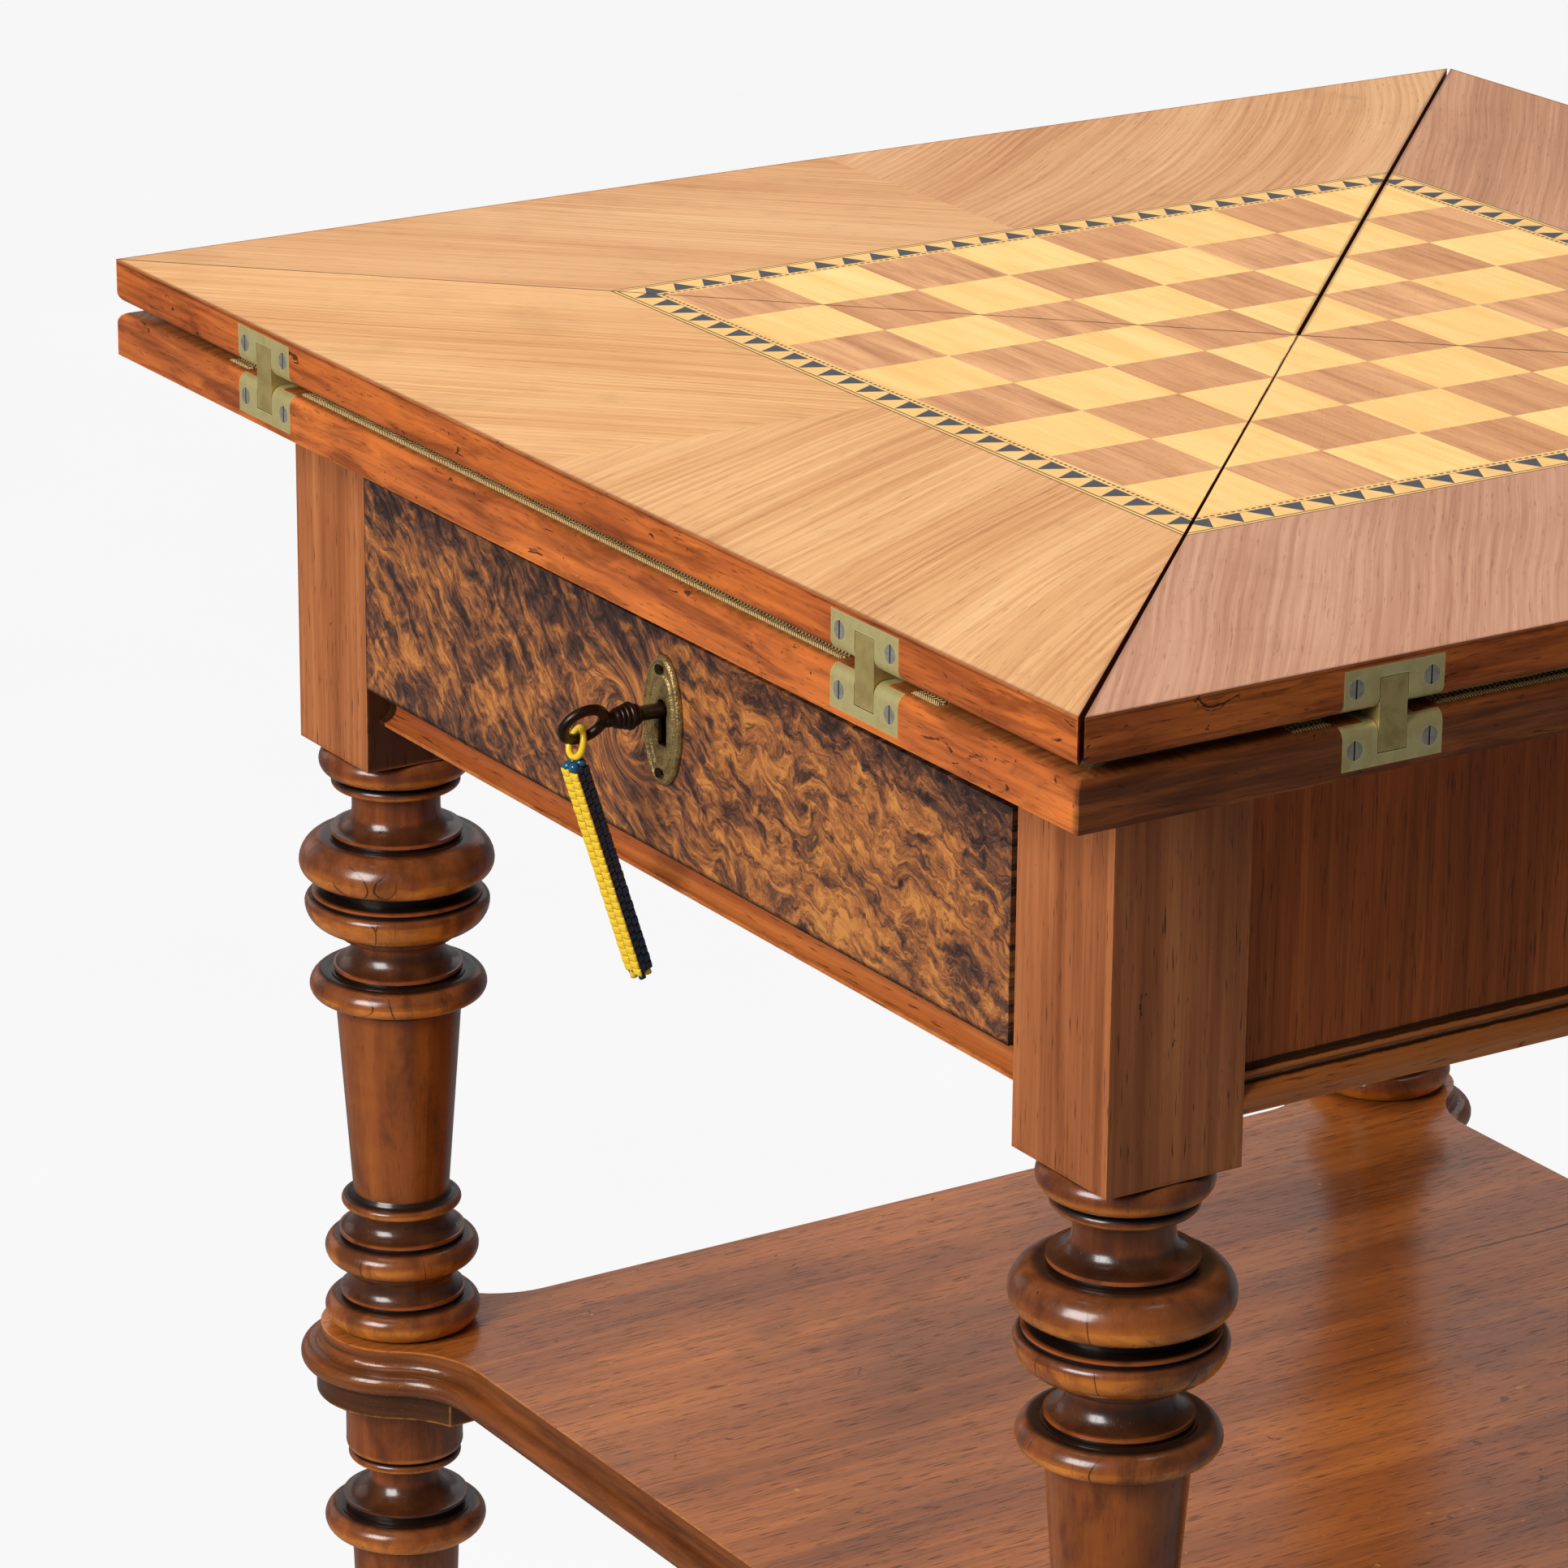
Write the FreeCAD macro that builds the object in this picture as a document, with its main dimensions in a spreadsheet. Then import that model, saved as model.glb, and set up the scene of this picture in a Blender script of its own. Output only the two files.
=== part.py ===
import FreeCAD, Part
import Sketcher
import math
import os
from FreeCAD import Vector, Rotation, Placement

# Envelope card table: a square top that swivels on a frame with four turned legs,
# four triangular leaves on double-pivot link hinges, one drawer with a lock, and a
# moulded shelf. Millimetres, +Z up, origin on the floor under the middle of the table,
# drawer front towards -Y.

doc = FreeCAD.newDocument("card_table")
sheet = doc.addObject("Spreadsheet::Sheet", "dims")
row = [0]


class E:
    """A number that also carries its spreadsheet expression."""

    def __init__(self, v, t):
        self.v = float(v)
        self.t = t

    def __add__(self, o):
        o = wrap(o)
        return E(self.v + o.v, "(%s + %s)" % (self.t, o.t))

    def __radd__(self, o):
        return wrap(o) + self

    def __sub__(self, o):
        o = wrap(o)
        return E(self.v - o.v, "(%s - %s)" % (self.t, o.t))

    def __rsub__(self, o):
        return wrap(o) - self

    def __mul__(self, o):
        o = wrap(o)
        return E(self.v * o.v, "(%s * %s)" % (self.t, o.t))

    def __rmul__(self, o):
        return wrap(o) * self

    def __truediv__(self, o):
        o = wrap(o)
        return E(self.v / o.v, "(%s / %s)" % (self.t, o.t))

    def __neg__(self):
        return E(-self.v, "(0 - %s)" % self.t)

    def root(self):
        return E(math.sqrt(self.v), "sqrt(%s)" % self.t)


def wrap(o):
    return o if isinstance(o, E) else E(o, "(%.9g)" % o)


def D(alias, value):
    row[0] += 1
    sheet.set("A%d" % row[0], alias)
    sheet.set("B%d" % row[0], "%.6g" % value)
    sheet.setAlias("B%d" % row[0], alias)
    return E(value, "dims." + alias)


# ---- overall
side = D("top_side", 590.0)
height = D("table_height", 740.0)
leaf_t = D("leaf_thickness", 15.5)
gap = D("leaf_gap", 3.5)
base_t = D("base_thickness", 15.5)
over = D("top_overhang", 45.5)
post = D("post_width", 49.4)
slip = D("swivel_slip", 0.5)
edge_r = D("edge_round", 4.0)
seam = D("seam_half", 0.75)
seam_n = D("seam_half_narrow", 0.15)
seam_w = D("seam_half_corner", 0.95)
# ---- hinges
hinge_x = D("hinge_offset", 185.5)
plate_l = D("plate_length", 36.0)
plate_h = D("plate_height", 13.4)
plate_t = D("plate_thickness", 2.5)
block_w = D("block_width", 18.0)
block_d = D("block_depth", 16.0)
slot_w = D("slot_width", 10.6)
slot_d = D("slot_depth", 13.0)
slot_h = D("slot_height", 9.6)
slot_r = D("slot_end_radius", 6.6)
pin_a = D("pin_depth", 5.0)
pin_e = D("pin_setback", 4.6)
pin_r = D("pin_radius", 1.8)
pin_fit = D("pin_clearance", 0.05)
pin_l = D("pin_length", 17.6)
link_w = D("link_width", 10.0)
link_r = D("link_end_radius", 4.5)
link_in = D("link_inner", 4.2)
screw_x = D("screw_offset", 13.5)
head_r = D("screw_head_radius", 3.0)
head_h = D("screw_head_height", 1.3)
shank_r = D("screw_shank_radius", 1.5)
screw_l = D("screw_length", 13.0)
slot_cut = D("screw_slot", 0.8)
# ---- linings
cloth_t = D("baize_thickness", 1.0)
cloth_in = D("baize_inset", 10.0)
braid_w = D("braid_width", 6.5)
braid_t = D("braid_thickness", 1.1)
cloth_dg = D("baize_diagonal_inset", 15.0)
braid_in = D("braid_inset", 4.0)
braid_end = D("braid_end", 218.0)
braid_gap = D("braid_hinge_gap", 19.0)
# ---- frame
rail_t = D("rail_thickness", 18.0)
rail_in = D("rail_recess", 4.0)
rail_b = D("rail_bottom", 585.5)
post_b = D("post_bottom", 569.2)
top_rail_h = D("top_rail_height", 26.5)
front_rail_d = D("front_rail_depth", 22.0)
low_b = D("front_rail_bottom", 587.0)
low_t = D("front_rail_top", 599.0)
bead_r = D("bead_radius", 4.9)
bead_z = D("bead_height", 593.2)
run_in = D("runner_inner", 184.0)
run_t = D("runner_top", 600.0)
run_b = D("runner_bottom", 588.0)
bear_w = D("bearer_half_width", 32.0)
bear_t = D("bearer_thickness", 14.0)
# ---- pivot
bolt_r = D("pivot_radius", 6.0)
bolt_fit = D("pivot_clearance", 0.06)
bolt_head = D("pivot_head_radius", 11.0)
bolt_hh = D("pivot_head_height", 4.0)
bolt_end = D("pivot_bottom", 677.0)
wash_r = D("pivot_washer_radius", 14.0)
wash_t = D("pivot_washer_thickness", 2.2)
nut_r = D("pivot_nut_radius", 10.0)
nut_h = D("pivot_nut_height", 8.0)
# ---- shelf
shelf_t = D("shelf_top", 346.0)
shelf_m = D("shelf_step", 338.6)
shelf_b = D("shelf_bottom", 330.0)
pad_b = D("pad_bottom", 320.0)
shelf_x = D("shelf_half_x", 229.0)
shelf_y = D("shelf_half_y", 232.5)
lobe_r = D("lobe_radius", 37.6)
lobe_f = D("lobe_hollow", 29.5)
shelf_in = D("shelf_step_inset", 7.4)
pad_in = D("pad_inset", 5.6)
pad_reach = D("pad_reach", 43.0)
nose_r = D("nose_round", 4.15)
cove_r = D("cove_round", 3.0)
tenon_r = D("tenon_radius", 8.0)
tenon_fit = D("tenon_clearance", 0.05)
# ---- drawer
dr_l = D("drawer_left", 199.7)
dr_r = D("drawer_right", 197.2)
dr_b = D("drawer_front_bottom", 600.5)
dr_t = D("drawer_front_top", 677.3)
dr_sag = D("drawer_front_sag", 1.4)
dr_ft = D("drawer_front_thickness", 18.0)
dr_st = D("drawer_side_thickness", 9.0)
dr_sb = D("drawer_side_bottom", 600.4)
dr_sh = D("drawer_side_top", 675.4)
dr_sg = D("drawer_side_setin", 0.3)
dr_back = D("drawer_back_face", 205.0)
dr_bt = D("drawer_bottom_low", 606.0)
dr_bh = D("drawer_bottom_thickness", 5.0)
dr_bg = D("drawer_bottom_groove", 4.0)
dr_kh = D("drawer_back_top", 672.0)
# ---- lock, key and fob
key_z = D("key_height", 650.5)
hole_r = D("keyhole_radius", 3.5)
hole_w = D("keyhole_slot_width", 6.0)
hole_b = D("keyhole_bottom", 638.0)
esc_z = D("escutcheon_height", 646.8)
esc_a = D("escutcheon_half_height", 22.1)
esc_b = D("escutcheon_half_width", 11.2)
esc_t = D("escutcheon_thickness", 2.6)
esc_pin = D("escutcheon_pin_offset", 17.6)
pin_head = D("escutcheon_pin_head", 1.7)
case_w = D("lock_half_width", 24.0)
case_d = D("lock_depth", 10.0)
case_b = D("lock_bottom", 634.0)
case_t = D("lock_top", 676.3)
bolt_w = D("lock_bolt_half_width", 8.0)
bolt_th = D("lock_bolt_thickness", 5.0)
bolt_low = D("lock_bolt_bottom", 665.0)
bolt_up = D("lock_bolt_travel", 6.0)
key_r = D("key_shank_radius", 2.5)
key_in = D("key_inner_end", 14.0)
key_bow = D("key_bow_distance", 30.6)
bow_r1 = D("key_bow_radius", 6.9)
bow_r2 = D("key_bow_wire", 1.9)
bow_turn = D("key_bow_turn", 59.0)
fob_s = D("fob_width", 6.8)
fob_l = D("fob_length", 83.1)
fob_lean = D("fob_lean", 18.15)
fob_top = D("fob_drop", 6.9)
loop_lean = D("fob_loop_lean", -17.6)
loop_r1 = D("fob_loop_radius", 4.85)
loop_r2 = D("fob_loop_wire", 1.15)
loop_drop = D("fob_loop_drop", 1.1)
loop_fit = D("fob_loop_clearance", 0.05)

# turned profiles: radius, drop below the top of the table, bulge of the next segment
LEG = [
    (21.6, 170.8, 5.9), (21.4, 181.0, 0), (20.2, 181.6, 0), (21.3, 182.1, 1.86), (21.3, 185.9, 0),
    (16.4, 186.3, 0), (15.9, 187.0, 0), (15.9, 194.4, -2.0), (22.9, 201.7, 0), (23.7, 201.7, 0),
    (23.7, 203.2, 0), (22.6, 203.6, 0), (22.6, 204.3, 0), (24.2, 204.6, 3.2), (35.1, 214.0, 1.77),
    (29.05, 220.05, 0), (28.2, 220.3, 0), (28.2, 221.0, 0), (24.0, 221.4, 0), (24.0, 224.4, 0),
    (29.2, 224.8, 0), (30.7, 225.0, 0), (30.7, 226.1, 0), (29.9, 226.4, 0), (30.4, 226.8, 0.8),
    (33.3, 229.6, 2.7), (24.0, 238.9, 0), (21.6, 239.6, 0), (21.1, 240.0, 0), (21.1, 242.4, 0),
    (17.2, 242.9, 0), (16.9, 245.4, -1.7), (22.6, 253.4, 0), (23.3, 253.4, 0), (23.3, 254.8, 0),
    (22.4, 255.1, 0), (22.4, 255.7, 0), (24.2, 256.0, 2.3), (32.0, 261.3, 1.28), (27.6, 265.7, 0),
    (24.4, 266.2, 0), (23.3, 266.6, 0), (23.3, 267.8, 0), (22.7, 268.3, 0), (17.45, 341.4, 0),
    (18.4, 342.9, 0), (20.0, 343.45, 1.86), (20.0, 347.3, 0), (18.0, 347.7, 0), (17.6, 349.0, -1.7),
    (22.2, 356.4, 0), (23.0, 356.4, 0), (23.0, 357.7, 0), (22.0, 358.0, 0), (22.0, 358.8, 0),
    (23.4, 359.1, 1.36), (28.1, 363.8, 1.67), (22.35, 369.55, 0), (21.5, 369.9, 0), (21.5, 371.6, 0),
    (20.6, 371.9, -1.6), (22.1, 380.1, 0), (22.9, 380.1, 0), (22.9, 381.4, 0), (22.0, 381.7, 0),
    (22.0, 382.4, 0), (23.4, 382.7, 1.42), (28.4, 387.3, 1.92), (21.8, 393.9, 0), (21.8, 394.0, 0),
    (8.0, 394.0, 0), (8.0, 442.0, 0),
]
FOOT = [
    (8.05, 420.0, 0), (21.5, 420.0, 0), (21.5, 440.6, 0.4), (20.6, 443.9, 0), (19.4, 444.2, 0),
    (19.05, 444.7, 1.72), (19.05, 448.2, 0), (13.0, 448.6, 0), (12.6, 449.4, 0), (12.6, 454.2, -2.4),
    (22.0, 463.2, 0), (23.0, 463.2, 0), (23.0, 464.4, 0), (21.4, 464.8, 0), (21.4, 467.0, 0),
    (24.0, 467.4, 1.7), (29.8, 472.2, 1.7), (24.0, 478.0, 0), (20.8, 478.6, 0), (19.8, 479.6, 0),
    (12.6, 686.0, 0), (13.6, 688.0, 2.7), (13.6, 695.0, 0), (11.4, 696.4, 0), (11.0, 702.0, 0),
    (12.6, 704.0, 3.8), (13.0, 724.0, 1.0), (10.8, 740.0, 0), (0.0, 740.0, 0), (0.0, 442.5, 0), (8.05, 442.5, 0),
]
leg_pts = [(D("leg_radius_%02d" % i, r), height - D("leg_drop_%02d" % i, z), b) for i, (r, z, b) in enumerate(LEG)]
foot_pts = [(D("foot_radius_%02d" % i, r) if r else 0.0, height - D("foot_drop_%02d" % i, z), b) for i, (r, z, b) in enumerate(FOOT)]
doc.recompute()

# ---- derived levels
half = side / 2
leaf_b = height - leaf_t
base_top_z = leaf_b - gap
base_bot = base_top_z - base_t
frame_top = base_bot - slip
fh = half - over
axis = fh - post / 2
inner = fh - post
rail_out = fh - rail_in
rail_inn = rail_out - rail_t
pin_y = pin_e - half
pin_za = base_top_z - pin_a
pin_zb = leaf_b + pin_a
V = lambda x: x.v if isinstance(x, E) else float(x)


def bind(obj, prop, e):
    if isinstance(e, E):
        obj.setExpression(prop, e.t)
    else:
        obj.setExpression(prop, "%.9g" % e)


def place(obj, x, y, z, rot=None):
    obj.Placement = Placement(Vector(V(x), V(y), V(z)), rot or Rotation())
    for n, e in zip("xyz", (x, y, z)):
        if isinstance(e, E):
            obj.setExpression("Placement.Base." + n, e.t)


def box(name, x0, x1, y0, y1, z0, z1):
    o = doc.addObject("Part::Box", name)
    bind(o, "Length", wrap(x1) - x0)
    bind(o, "Width", wrap(y1) - y0)
    bind(o, "Height", wrap(z1) - z0)
    place(o, x0, y0, z0)
    return o


TURN = {"z": Rotation(), "y": Rotation(Vector(1, 0, 0), -90), "x": Rotation(Vector(0, 1, 0), 90),
        "-y": Rotation(Vector(1, 0, 0), 90)}


def cyl(name, x, y, z, r, length, along="z"):
    o = doc.addObject("Part::Cylinder", name)
    bind(o, "Radius", r)
    bind(o, "Height", length)
    place(o, x, y, z, TURN[along])
    return o


def fuse(name, parts):
    o = doc.addObject("Part::MultiFuse", name)
    o.Shapes = parts
    return o


def cut(name, base, tool):
    o = doc.addObject("Part::Cut", name)
    o.Base = base
    o.Tool = tool
    return o


def group(name, parts):
    o = doc.addObject("Part::Compound", name)
    o.Links = parts
    return o


def mirror(name, src, nx, ny):
    o = doc.addObject("Part::Mirroring", name)
    o.Source = src
    o.Base = Vector(0, 0, 0)
    o.Normal = Vector(nx, ny, 0)
    return o


def around(name, src):
    """The same piece on the right, back and left sides of the table."""
    return {
        "front": src,
        "right": mirror("%s_right" % name, src, 1, 1),
        "back": mirror("%s_back" % name, src, 0, 1),
        "left": mirror("%s_left" % name, src, 1, -1),
    }


def body(name):
    return doc.addObject("PartDesign::Body", name)


def origin_plane(b, role):
    for f in b.Origin.OriginFeatures:
        if f.Role == role:
            return f


def sketch(b, name, role, loops, offset=None):
    """A constrained sketch. Each loop is a list of (x, y, bulge) corners; the bulge is the
    height of an arc on the segment to the next corner, positive to the right of the way round."""
    sk = b.newObject("Sketcher::SketchObject", name)
    sk.AttachmentSupport = [(origin_plane(b, role), "")]
    sk.MapMode = "FlatFace"
    if offset is not None:
        sk.AttachmentOffset = Placement(Vector(0, 0, V(offset)), Rotation())
        if isinstance(offset, E):
            sk.setExpression("AttachmentOffset.Base.z", offset.t)
    todo = []
    cons = []
    for loop in loops:
        ids = []
        n = len(loop)
        for i in range(n):
            x1, y1, b1 = loop[i]
            x2, y2, _ = loop[(i + 1) % n]
            p, q = Vector(V(x1), V(y1), 0), Vector(V(x2), V(y2), 0)
            if not V(b1):
                ids.append((sk.addGeometry(Part.LineSegment(p, q), False), 1, 2))
                continue
            s = V(b1)
            c = (q - p)
            right = Vector(c.y, -c.x, 0).normalize()
            m = (p + q) * 0.5 + right * s
            rad = (c.Length ** 2 / 4 + s * s) / (2 * abs(s))
            mid = m + right * (-rad if s > 0 else rad)
            a1 = math.atan2(p.y - mid.y, p.x - mid.x)
            a2 = math.atan2(q.y - mid.y, q.x - mid.x)
            ccw = s > 0                     # a bulge to the right is run round anticlockwise
            lo, hi = (a1, a2) if ccw else (a2, a1)
            if hi <= lo:
                hi += 2 * math.pi
            g = sk.addGeometry(Part.ArcOfCircle(Part.Circle(mid, Vector(0, 0, 1), rad), lo, hi), False)
            ids.append((g, 1, 2) if ccw else (g, 2, 1))
            dx, dy = wrap(x2) - x1, wrap(y2) - y1
            bb = wrap(b1)
            if s < 0:
                bb = -bb
            todo.append(("Radius", g, ((dx * dx + dy * dy) / 4 + bb * bb) / (bb * 2)))
        for i in range(n):
            g, a, z = ids[i]
            g2, a2, z2 = ids[(i + 1) % n]
            cons.append((Sketcher.Constraint("Coincident", g, z, g2, a2), None))
        for i in range(n):
            x, y, _ = loop[i]
            g, a, z = ids[i]
            for kind, e, line in (("DistanceX", x, -2), ("DistanceY", y, -1)):
                if abs(V(e)) < 1e-9:
                    cons.append((Sketcher.Constraint("PointOnObject", g, a, line), None))
                else:
                    cons.append((Sketcher.Constraint(kind, -1, 1, g, a, V(e)), e))
    for kind, g, e in todo:
        cons.append((Sketcher.Constraint(kind, g, e.v), e))
    sk.addConstraint([c for c, _ in cons])
    for k, (_, e) in enumerate(cons):
        if isinstance(e, E):
            sk.setExpression("Constraints[%d]" % k, e.t)
    sk.Visibility = False
    return sk


def pad(b, name, sk, length, flip=False):
    o = b.newObject("PartDesign::Pad", name)
    o.Profile = sk
    o.Reversed = flip
    bind(o, "Length", length)
    doc.recompute()
    return o


def pocket(b, name, sk, length, flip=False):
    o = b.newObject("PartDesign::Pocket", name)
    o.Profile = sk
    o.Reversed = flip
    bind(o, "Length", length)
    doc.recompute()
    return o


def revolve(b, name, sk):
    o = b.newObject("PartDesign::Revolution", name)
    o.Profile = sk
    o.ReferenceAxis = (sk, ["V_Axis"])
    o.Angle = 360.0
    doc.recompute()
    return o


def round_edges(b, name, feat, test, r):
    names = ["Edge%d" % (i + 1) for i, e in enumerate(feat.Shape.Edges) if test(e)]
    o = b.newObject("PartDesign::Fillet", name)
    o.Base = (feat, names)
    bind(o, "Radius", r)
    doc.recompute()
    return o


def rect(x0, x1, y0, y1):
    return [(x0, y0, 0), (x1, y0, 0), (x1, y1, 0), (x0, y1, 0)]


nodes = {}


def node(name, obj):
    obj.Label = name
    nodes[name] = obj
    return obj


# ================================================================ legs and shelf
leg = body("leg_body")
sk = sketch(leg, "leg_profile", "XZ_Plane", [[(0.0, leg_pts[0][1], 0)] + [(r, z, -b if b else 0) for r, z, b in leg_pts] + [(0.0, leg_pts[-1][1], 0)]])
revolve(leg, "leg_turning", sk)
h2 = post / 2
sk = sketch(leg, "leg_square", "XY_Plane", [rect(-h2, h2, -h2, h2)], post_b)
pad(leg, "leg_post", sk, frame_top - post_b)
place(leg, -axis, -axis, 0.0)
doc.recompute()
node("leg_front_left", leg)
node("leg_front_right", mirror("leg_fr", leg, 1, 0))
node("leg_back_left", mirror("leg_bl", leg, 0, 1))
node("leg_back_right", mirror("leg_br", nodes["leg_front_right"], 0, 1))

foot = body("foot_body")
sk = sketch(foot, "foot_profile", "XZ_Plane", [[(r, z, -b if b else 0) for r, z, b in foot_pts]])
revolve(foot, "foot_turning", sk)
place(foot, -axis, -axis, 0.0)
doc.recompute()
node("lower_leg_front_left", foot)
node("lower_leg_front_right", mirror("foot_fr", foot, 1, 0))
node("lower_leg_back_left", mirror("foot_bl", foot, 0, 1))
node("lower_leg_back_right", mirror("foot_br", nodes["lower_leg_front_right"], 0, 1))


def shelf_outline(inset):
    """Straight sides with a round lobe at each leg and a hollow between, going round from the front."""
    R, F = lobe_r - inset, lobe_f + inset
    hx, hy = shelf_x - inset, shelf_y - inset
    dx, dy = hx - axis, hy - axis
    ux = ((R + F) * (R + F) - (dy + F) * (dy + F)).root()   # along X beside the front and back sides
    uy = ((R + F) * (R + F) - (dx + F) * (dx + F)).root()   # along Y beside the left and right sides
    k = R / (R + F)
    tx, ty = ux * k, (dy + F) * k                           # hollow meets lobe, front or back
    sx, sy = (dx + F) * k, uy * k                           # hollow meets lobe, left or right
    cx, cy = tx + sx, ty + sy

    def hollow(c1x, c1y):
        half_chord = ((c1x * c1x + c1y * c1y) / 4)
        return F - (F * F - half_chord).root()

    hol_f = hollow(ux - tx, wrap(dy) - ty)
    hol_s = hollow(wrap(dx) - sx, uy - sy)
    # the lobe runs over more than half a circle
    ch = ((tx + sx) * (tx + sx) + (ty + sy) * (ty + sy)) / 4
    lobe = R + (R * R - ch).root()
    pts = []
    # from the middle of the front side towards +X, counter-clockwise; arcs bulge to the right
    # (outwards) on lobes and to the left on hollows
    for a, b, first in ((1, -1, "f"), (1, 1, "s"), (-1, 1, "f"), (-1, -1, "s")):
        px, py = axis * a, axis * b
        f_line = (px - ux * a, py + dy * b)
        f_lobe = (px - tx * a, py + ty * b)
        s_line = (px + dx * a, py - uy * b)
        s_lobe = (px + sx * a, py - sy * b)
        if first == "f":
            seq = [(f_line, -hol_f), (f_lobe, lobe), (s_lobe, -hol_s), (s_line, 0)]
        else:
            seq = [(s_line, -hol_s), (s_lobe, lobe), (f_lobe, -hol_f), (f_line, 0)]
        for (x, y), bulge in seq:
            pts.append((x, y, bulge))
    return pts


shelf = body("shelf_body")
sk = sketch(shelf, "shelf_nose", "XY_Plane", [shelf_outline(wrap(0.0))], shelf_b)
f1 = pad(shelf, "shelf_slab", sk, shelf_m - shelf_b)
z0, z1 = shelf_b.v, shelf_m.v
f2 = round_edges(shelf, "shelf_round", f1, lambda e: abs(e.BoundBox.ZMin - e.BoundBox.ZMax) < 1e-6, nose_r)
sk = sketch(shelf, "shelf_upper", "XY_Plane", [shelf_outline(shelf_in)], shelf_m)
f3 = pad(shelf, "shelf_step", sk, shelf_t - shelf_m)
names = []
for i, e in enumerate(f3.Shape.Edges):
    bb = e.BoundBox
    if abs(bb.ZMin - z1) < 1e-6 and abs(bb.ZMax - z1) < 1e-6:
        m = e.valueAt((e.FirstParameter + e.LastParameter) / 2)
        # only the foot of the step, not the edge where the nose begins
        d = min((m - v.valueAt((v.FirstParameter + v.LastParameter) / 2)).Length
                for v in f3.Shape.Edges if abs(v.BoundBox.ZMin - shelf_t.v) < 1e-6)
        if abs(d - (shelf_t.v - z1)) < 0.02:
            names.append("Edge%d" % (i + 1))
f4 = shelf.newObject("PartDesign::Fillet", "shelf_cove")
f4.Base = (f3, names)
bind(f4, "Radius", cove_r)
doc.recompute()
holes = []
hr = tenon_r + tenon_fit
for a, b in ((-1, -1), (1, -1), (-1, 1), (1, 1)):
    holes.append(cyl("tenon_hole_%d%d" % (a + 1, b + 1), axis * a, axis * b, pad_b - 1, hr, shelf_t - pad_b + 2))
tenon_holes = fuse("tenon_holes", holes)
node("shelf", cut("shelf", shelf, tenon_holes))

pads = body("pad_body")
sk = sketch(pads, "pad_outline", "XY_Plane", [shelf_outline(pad_in)], pad_b)
pad(pads, "pad_slab", sk, shelf_b - pad_b)
corner = []
for a, b in ((-1, -1), (1, -1), (-1, 1), (1, 1)):
    x0 = axis * a - pad_reach
    y0 = axis * b - pad_reach
    corner.append(box("pad_corner_%d%d" % (a + 1, b + 1), x0, x0 + pad_reach * 2, y0, y0 + pad_reach * 2, pad_b, shelf_b))
corners = fuse("pad_corners", corner)
common = doc.addObject("Part::Common", "pad_common")
common.Base = pads
common.Tool = corners
# the pads follow the lobes only, hollowed towards the middle of the shelf
disc = [cyl("pad_disc_%d%d" % (a + 1, b + 1), axis * a, axis * b, pad_b, pad_reach, shelf_b - pad_b) for a, b in ((-1, -1), (1, -1), (-1, 1), (1, 1))]
discs = fuse("pad_discs", disc)
common2 = doc.addObject("Part::Common", "pad_common2")
common2.Base = common
common2.Tool = discs
node("shelf_pads", cut("shelf_pads", common2, tenon_holes))

# ================================================================ frame rails
bolt_y0 = -fh + dr_ft - case_d + 2.5            # front face of the lock bolt
top_rail = box("top_rail_bar", -inner, inner, -fh, -fh + front_rail_d, frame_top - top_rail_h, frame_top)
mortise = box("bolt_mortise", -bolt_w - 1.0, bolt_w + 1.0, bolt_y0 - 1.0, bolt_y0 + bolt_th + 1.0, frame_top - top_rail_h - 1.0, frame_top - top_rail_h + bolt_up + 1.5)
node("front_top_rail", cut("front_top_rail", top_rail, mortise))

low = body("front_bottom_rail_body")
fr = -fh + bead_r
sk = sketch(low, "low_rail_section", "YZ_Plane", [[
    (-fh + front_rail_d, low_b, 0), (-fh + front_rail_d, low_t, 0), (fr, low_t, 0),
    (fr, bead_z + bead_r * 0.999, -bead_r * 0.96), (fr, bead_z - bead_r * 0.999, 0), (fr, low_b, 0)]], -inner)
pad(low, "low_rail", sk, inner * 2)
node("front_bottom_rail", low)

node("side_rail_right", box("side_rail_right", rail_inn, rail_out, -inner, inner, rail_b, frame_top))
node("side_rail_left", mirror("side_rail_left", nodes["side_rail_right"], 1, 0))
node("back_rail", mirror("back_rail", nodes["side_rail_right"], 1, -1))

mould = body("moulding_body")
ro = rail_out
sk = sketch(mould, "moulding_section", "XZ_Plane", [[
    (ro, rail_b, 0), (ro + 3.1, rail_b, 0), (ro + 3.3, rail_b + 1.7, 1.6), (ro + 1.1, rail_b + 9.0, 0),
    (ro + 0.6, rail_b + 9.2, 0), (ro + 0.6, rail_b + 10.6, 1.1), (ro + 0.6, rail_b + 13.2, 0), (ro, rail_b + 13.7, 0)]], -inner)
pad(mould, "moulding", sk, inner * 2)
mould_l = mirror("moulding_left", mould, 1, 0)
mould_b = mirror("moulding_back", mould, 1, -1)
node("rail_mouldings", group("rail_mouldings", [mould, mould_l, mould_b]))

rail_back = -fh + front_rail_d
guide = box("runner_guide", inner, rail_inn, -inner, inner, run_b, frame_top)
lip = box("runner_lip", run_in, inner, rail_back, rail_inn, run_b, run_t)
kick = box("runner_kicker", run_in, inner, rail_back, rail_inn, frame_top - top_rail_h, frame_top)
runner = fuse("runner_right", [guide, lip, kick])
node("drawer_runners", group("drawer_runners", [runner, mirror("runner_left", runner, 1, 0)]))

bear = box("bearer_bar", -bear_w, bear_w, rail_back, rail_inn, frame_top - bear_t, frame_top)
bear_hole = cyl("bearer_bore", 0.0, 0.0, frame_top - bear_t - 1, bolt_r + bolt_fit, bear_t + 2)
node("pivot_bearer", cut("pivot_bearer", bear, bear_hole))

# ================================================================ hinges
# one hinge at the middle of the front edge, then copied along and around


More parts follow.
